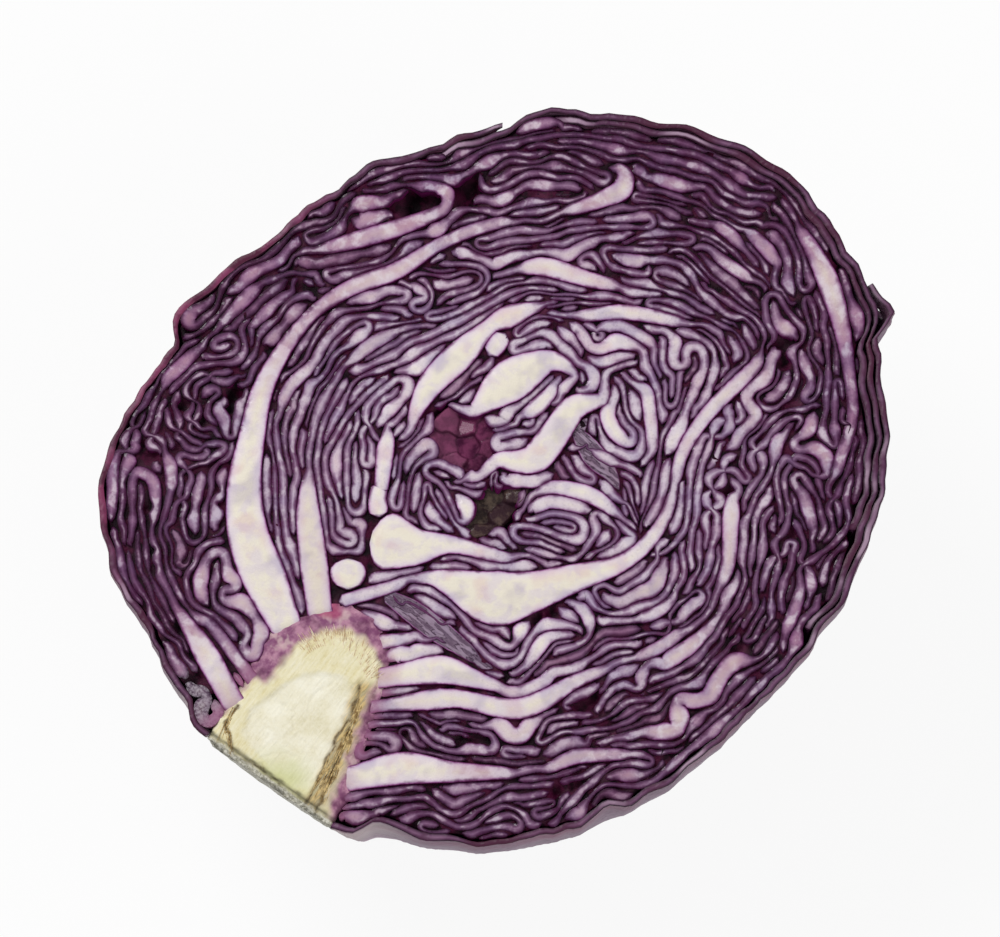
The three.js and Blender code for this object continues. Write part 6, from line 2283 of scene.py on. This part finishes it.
@dataclass
class OuterLeaves:
    """The outermost leaves, which wrap the round back."""

    head: Head
    step: float = 1.15
    thickness: float = 1.3
    rim_shares: tuple = (0.0, 0.16, 0.5, 0.84, 1.0)
    tip: tuple[float, float] = (75.4, 30.6)
    tip_height: float = 2.3
    maroon_side: float = math.radians(155)
    mean_radius: float = 70.0
    butt_reach: float = 74.0

    def surface(self, wrapper: Wrapper, outer: tuple[Wrapper, ...], rng: np.random.Generator) -> dict:
        """Points of a leaf's outer and inner side, and its veins."""
        (near, far), (first, last) = wrapper.alpha, wrapper.beta
        rows = int((far - near) / self.step) + 1
        columns = int((last - first) / self.step) + 1
        down, aside = np.meshgrid(np.linspace(0, 1, rows), np.linspace(0, 1, columns), indexing="ij")
        wavy = 1.6 * np.sin(aside * 23 + 2 * np.sin(aside * 9)) + 1.0 * np.sin(aside * 51)
        frill = 1.1 * np.sin(down * 23 + 3 * np.sin(down * 9))
        frill = frill + 0.4 * np.sin(down * 61 + 2 * np.sin(down * 17))
        alpha = near + (far - near) * down + (wavy * smoothstep(down, 0.6, 1.0))
        beta = first + (last - first) * aside
        beta = beta + frill * ((smoothstep(aside, 0.7, 1.0) if last < 180 else 0)
                               + (smoothstep(1 - aside, 0.7, 1.0) if first > 0 else 0))
        towards = directions(wrapper.axis, np.radians(alpha), np.radians(beta))
        theta = np.arctan2(towards[..., 1], towards[..., 0])
        phi = np.arcsin(np.clip(-towards[..., 2], 0, 1))
        layers = sum((coverage(leaf, towards) for leaf in outer), np.zeros(theta.shape))
        bump = self.head.edge_bump(theta) + outer_inset(theta) + self.torn_tip(theta) * (layers < 0.5)
        bump = bump * (1 - smoothstep(phi, 0, self.head.bump_depth))
        place = np.stack([np.cos(phi) * np.cos(theta), np.cos(phi) * np.sin(theta), np.sin(phi)], -1)
        place = (place * self.mean_radius).reshape(-1, 3)
        swell, thin, shade = (share * waves(rng, place, size).reshape(theta.shape)
                              for share, size in ((0.35, 24.0), (0.3, 8.0), (0.6, 12.0)))
        return {"theta": theta, "phi": phi, "layers": layers, "bump": bump,
                "vein": self.veins(wrapper, alpha, beta), "swell": swell * smoothstep(phi, 0.05, 0.5),
                "thick": self.thickness * np.clip(0.92 + thin, 0.6, 1.1), "shade": np.clip(0.5 + shade, 0, 1)}

    def torn_tip(self, theta: np.ndarray) -> np.ndarray:
        """How far the outermost leaf's torn tip stands out on the right."""
        tip = self.head.polar(np.array([self.tip]))[0][0]
        past = np.degrees(turned(theta, tip))
        return self.tip_height * np.clip(1 - np.abs(past) / np.where(past > 0, 3.0, 1.3), 0, 1)

    def veins(self, wrapper: Wrapper, alpha: np.ndarray, beta: np.ndarray) -> np.ndarray:
        """Height share of the midrib and of the side veins that branch from it."""
        middle = sum(wrapper.beta) / 2
        away = np.radians(beta - middle) * np.sin(np.radians(alpha)) * self.mean_radius
        ahead = np.radians(alpha - wrapper.alpha[0]) * self.mean_radius
        length = math.radians(wrapper.alpha[1] - wrapper.alpha[0]) * self.mean_radius
        taper = np.clip(1 - ahead / length, 0, 1)
        bent = away + 1.2 * np.sin(ahead / 17)
        midrib = np.exp(-(bent / (0.8 + 2.4 * taper)) ** 2)
        spread = ahead - 0.75 * np.abs(bent) ** 1.06 + 2.2 * np.sin(bent / 9)
        spread = spread + 1.2 * np.sin(ahead / 6 + bent / 4)
        side = np.where(bent > 0, spread, spread + 6.5) / 13.0
        line = np.abs(side - np.round(side)) * 13.0
        branch = 0.6 * np.exp(-(line / (0.45 + 0.5 * taper)) ** 2) * np.exp(-np.abs(bent) / 38)
        twig = (spread * 0.45 + np.abs(bent)) / 8.5
        fine = np.abs(twig - np.round(twig)) * 8.5
        small = 0.12 * np.exp(-(fine / 0.5) ** 2) * smoothstep(np.abs(bent), 2, 8)
        return np.clip(np.maximum(midrib, np.maximum(branch, small)), 0, 1)

    def build(self) -> None:
        """Make every outer leaf."""
        material = WaxySkin().material()
        for order, wrapper in enumerate(WRAPPERS):
            rng = np.random.default_rng(30 + order)
            sheet = self.surface(wrapper, WRAPPERS[:order], rng)
            piece = self.leaf(wrapper, sheet)
            piece.data.materials.append(material)
            settle(piece, wrapper.name)

    def from_stem(self, points: np.ndarray) -> np.ndarray:
        """Angle in degrees between points, seen from the heart, and the stem."""
        away = points - [*self.head.heart, self.head.cut_height]
        far = np.linalg.norm(away, axis=1)
        return np.degrees(np.arccos(np.clip((away[:, :2] @ PAST_BUTT) / far, -1, 1)))

    def trimmed(self, points: np.ndarray, inset: np.ndarray) -> np.ndarray:
        """How far points are set back in mm, so that the knife's flat butt stands proud of the leaves."""
        depth = self.head.cut_height - points[..., 2]
        over = points[..., :2] @ PAST_BUTT - self.butt_reach + 0.25 * depth + inset
        back = np.logaddexp(0, over / 0.5) * 0.5
        return back * smoothstep(depth, 0.5, 4.0) * (1 - smoothstep(depth, 18, 36))

    def leaf(self, wrapper: Wrapper, sheet: dict) -> bpy.types.Object:
        """Close one leaf's outer side, inner side and rim to a body."""
        at_cut = sheet["phi"] < 1e-4
        layers = []
        for share in self.rim_shares:
            inset = sheet["layers"] * WRAPPER_PITCH + share * sheet["thick"]
            lift = sheet["vein"] * 0.55 * (1 - share) + sheet["swell"] * (sheet["layers"] < 0.5)
            radius = self.head.radius(sheet["theta"], sheet["phi"]) + sheet["bump"] - inset + lift
            point = self.head.place(sheet["theta"], sheet["phi"], radius)
            point[..., 2] = np.maximum(point[..., 2], np.maximum(inset - lift, 0.0))
            point[..., :2] -= self.trimmed(point, inset)[..., None] * PAST_BUTT
            lip = 0.14 * (2 * abs(share - 0.5)) ** 3
            point[..., 2] -= lip * at_cut + 0.05 * at_cut
            layers.append(point.reshape(-1, 3))
        count = len(layers[0])
        at = np.arange(count).reshape(sheet["phi"].shape)
        quads = np.stack([at[:-1, :-1], at[:-1, 1:], at[1:, 1:], at[1:, :-1]], -1).reshape(-1, 4)
        faces = quads.tolist() + (quads[:, ::-1] + count).tolist()
        rim = np.concatenate([at[0, :-1], at[:-1, -1], at[-1, :0:-1], at[:0:-1, 0]])
        size = len(rim)
        between = range(len(self.rim_shares) - 2)
        loops = [rim, *(np.arange(size) + 2 * count + number * size for number in between), rim + count]
        for one, other in zip(loops[:-1], loops[1:]):
            faces.extend(np.stack([np.roll(one, -1), one, other, np.roll(other, -1)], -1).tolist())
        everything = np.vstack([layers[0], layers[-1]] + [layer[rim] for layer in layers[1:-1]])
        edge, cut, vein = np.zeros((3, len(everything)))
        for loop, share in zip(loops[1:-1], self.rim_shares[1:-1]):
            edge[loop] = min(share, 1 - share) * sheet["thick"].ravel()[rim]
            cut[loop] = 1.0
        vein[:count] = sheet["vein"].ravel()
        sharp = np.zeros(len(everything), bool)
        for loop in (loops[0], loops[-1]):
            cut[loop] = 0.6
            sharp[loop] = True
        left = np.abs(turned(self.head.polar(everything[:, :2])[0], self.maroon_side))
        shade = sheet["shade"].ravel()
        shade = np.concatenate([shade, shade] + [shade[rim] for _ in between])
        parts = MeshParts()
        parts.add(everything, faces, sharp, edge=edge, cut=cut, vein=vein, shade=shade,
                  maroon=1 - smoothstep(left, 0.35, 0.8),
                  base=1 - smoothstep(self.from_stem(everything), 15, 27))
        return parts.piece(f"{wrapper.name}_skin", self.head)


@dataclass
class Studio:
    """Camera, floor and soft lamps."""

    head: Head
    distance: float = 2.4
    scale: float = 0.19
    elevation: float = 77.0
    aim: tuple[float, float] = (0.95, 0.88)

    def camera(self) -> None:
        """Camera that looks down on the cut face from slightly in front."""
        lens = bpy.data.cameras.new("camera")
        lens.sensor_width = 36
        lens.lens = 36 * self.distance / self.scale
        lens.clip_end = 20
        piece = placed("camera", lens)
        rise = math.radians(self.elevation)
        target = Vector(self.head.metres(np.array([*self.aim, self.head.cut_height])))
        piece.location = target + self.distance * Vector((0, -math.cos(rise), math.sin(rise)))
        piece.rotation_euler = (math.pi / 2 - rise, 0, 0)
        bpy.context.scene.camera = piece

    def floor(self) -> None:
        """White floor that keeps a soft shadow."""
        mesh = bpy.data.meshes.new("floor")
        side = 6.0
        square = [(-side, -side, 0), (side, -side, 0), (side, side, 0), (-side, side, 0)]
        mesh.from_pydata(square, [], [(0, 1, 2, 3)])
        piece = placed("floor", mesh)
        book = Book("white_floor")
        book.surface.inputs["Base Color"].default_value = (0.85, 0.85, 0.85, 1)
        book.surface.inputs["Roughness"].default_value = 0.9
        rays = book.node("ShaderNodeLightPath")
        seen = Signal(book, rays.outputs["Is Camera Ray"]) + Signal(book, rays.outputs["Is Glossy Ray"])
        seen = (seen + Signal(book, rays.outputs["Is Transmission Ray"])) * 0.9
        white = book.node("ShaderNodeEmission", None, {"Color": (1, 1, 1, 1), "Strength": 1.0})
        both = book.node("ShaderNodeMixShader", None,
                         {0: seen, 1: book.surface.outputs[0], 2: white.outputs[0]})
        feed(book.tree, book.tree.nodes["Material Output"].inputs["Surface"], both.outputs[0])
        mesh.materials.append(book.material)

    def lamp(self, name: str, place: tuple, size: float, power: float) -> None:
        """Soft lamp that faces the half."""
        light = bpy.data.lights.new(name, "AREA")
        light.shape = "DISK"
        light.size = size
        light.energy = power
        piece = placed(name, light)
        piece.location = place
        piece.rotation_euler = (Vector((0, 0, 0.04)) - Vector(place)).to_track_quat("-Z", "Y").to_euler()

    def build(self) -> None:
        """Set up the studio."""
        self.camera()
        self.floor()
        self.lamp("key_lamp", (-0.5, 0.55, 0.9), size=0.6, power=7.8)
        self.lamp("fill_lamp", (0.7, -0.5, 0.8), size=0.9, power=3.4)
        world = bpy.data.worlds.new("studio")
        world.use_nodes = True
        world.node_tree.nodes["Background"].inputs["Color"].default_value = (1, 1, 1, 1)
        world.node_tree.nodes["Background"].inputs["Strength"].default_value = 0.4
        bpy.context.scene.world = world
        bpy.context.scene.view_settings.view_transform = "Standard"


def corners(box: tuple) -> list[list[float]]:
    """A box as plain lists of numbers."""
    return [[float(value) for value in corner] for corner in box]


def main() -> None:
    """Build the half cabbage and its studio."""
    logging.basicConfig(level=logging.INFO, format="%(name)s: %(message)s")
    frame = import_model()
    head = Head()
    head.locate()
    Studio(head).build()
    CutFace(head, frame).build()
    LeafFaces(head).build()
    Core(head).build()
    CoreFibres(head).build()
    OuterLeaves(head).build()


if __name__ == "__main__":
    main()
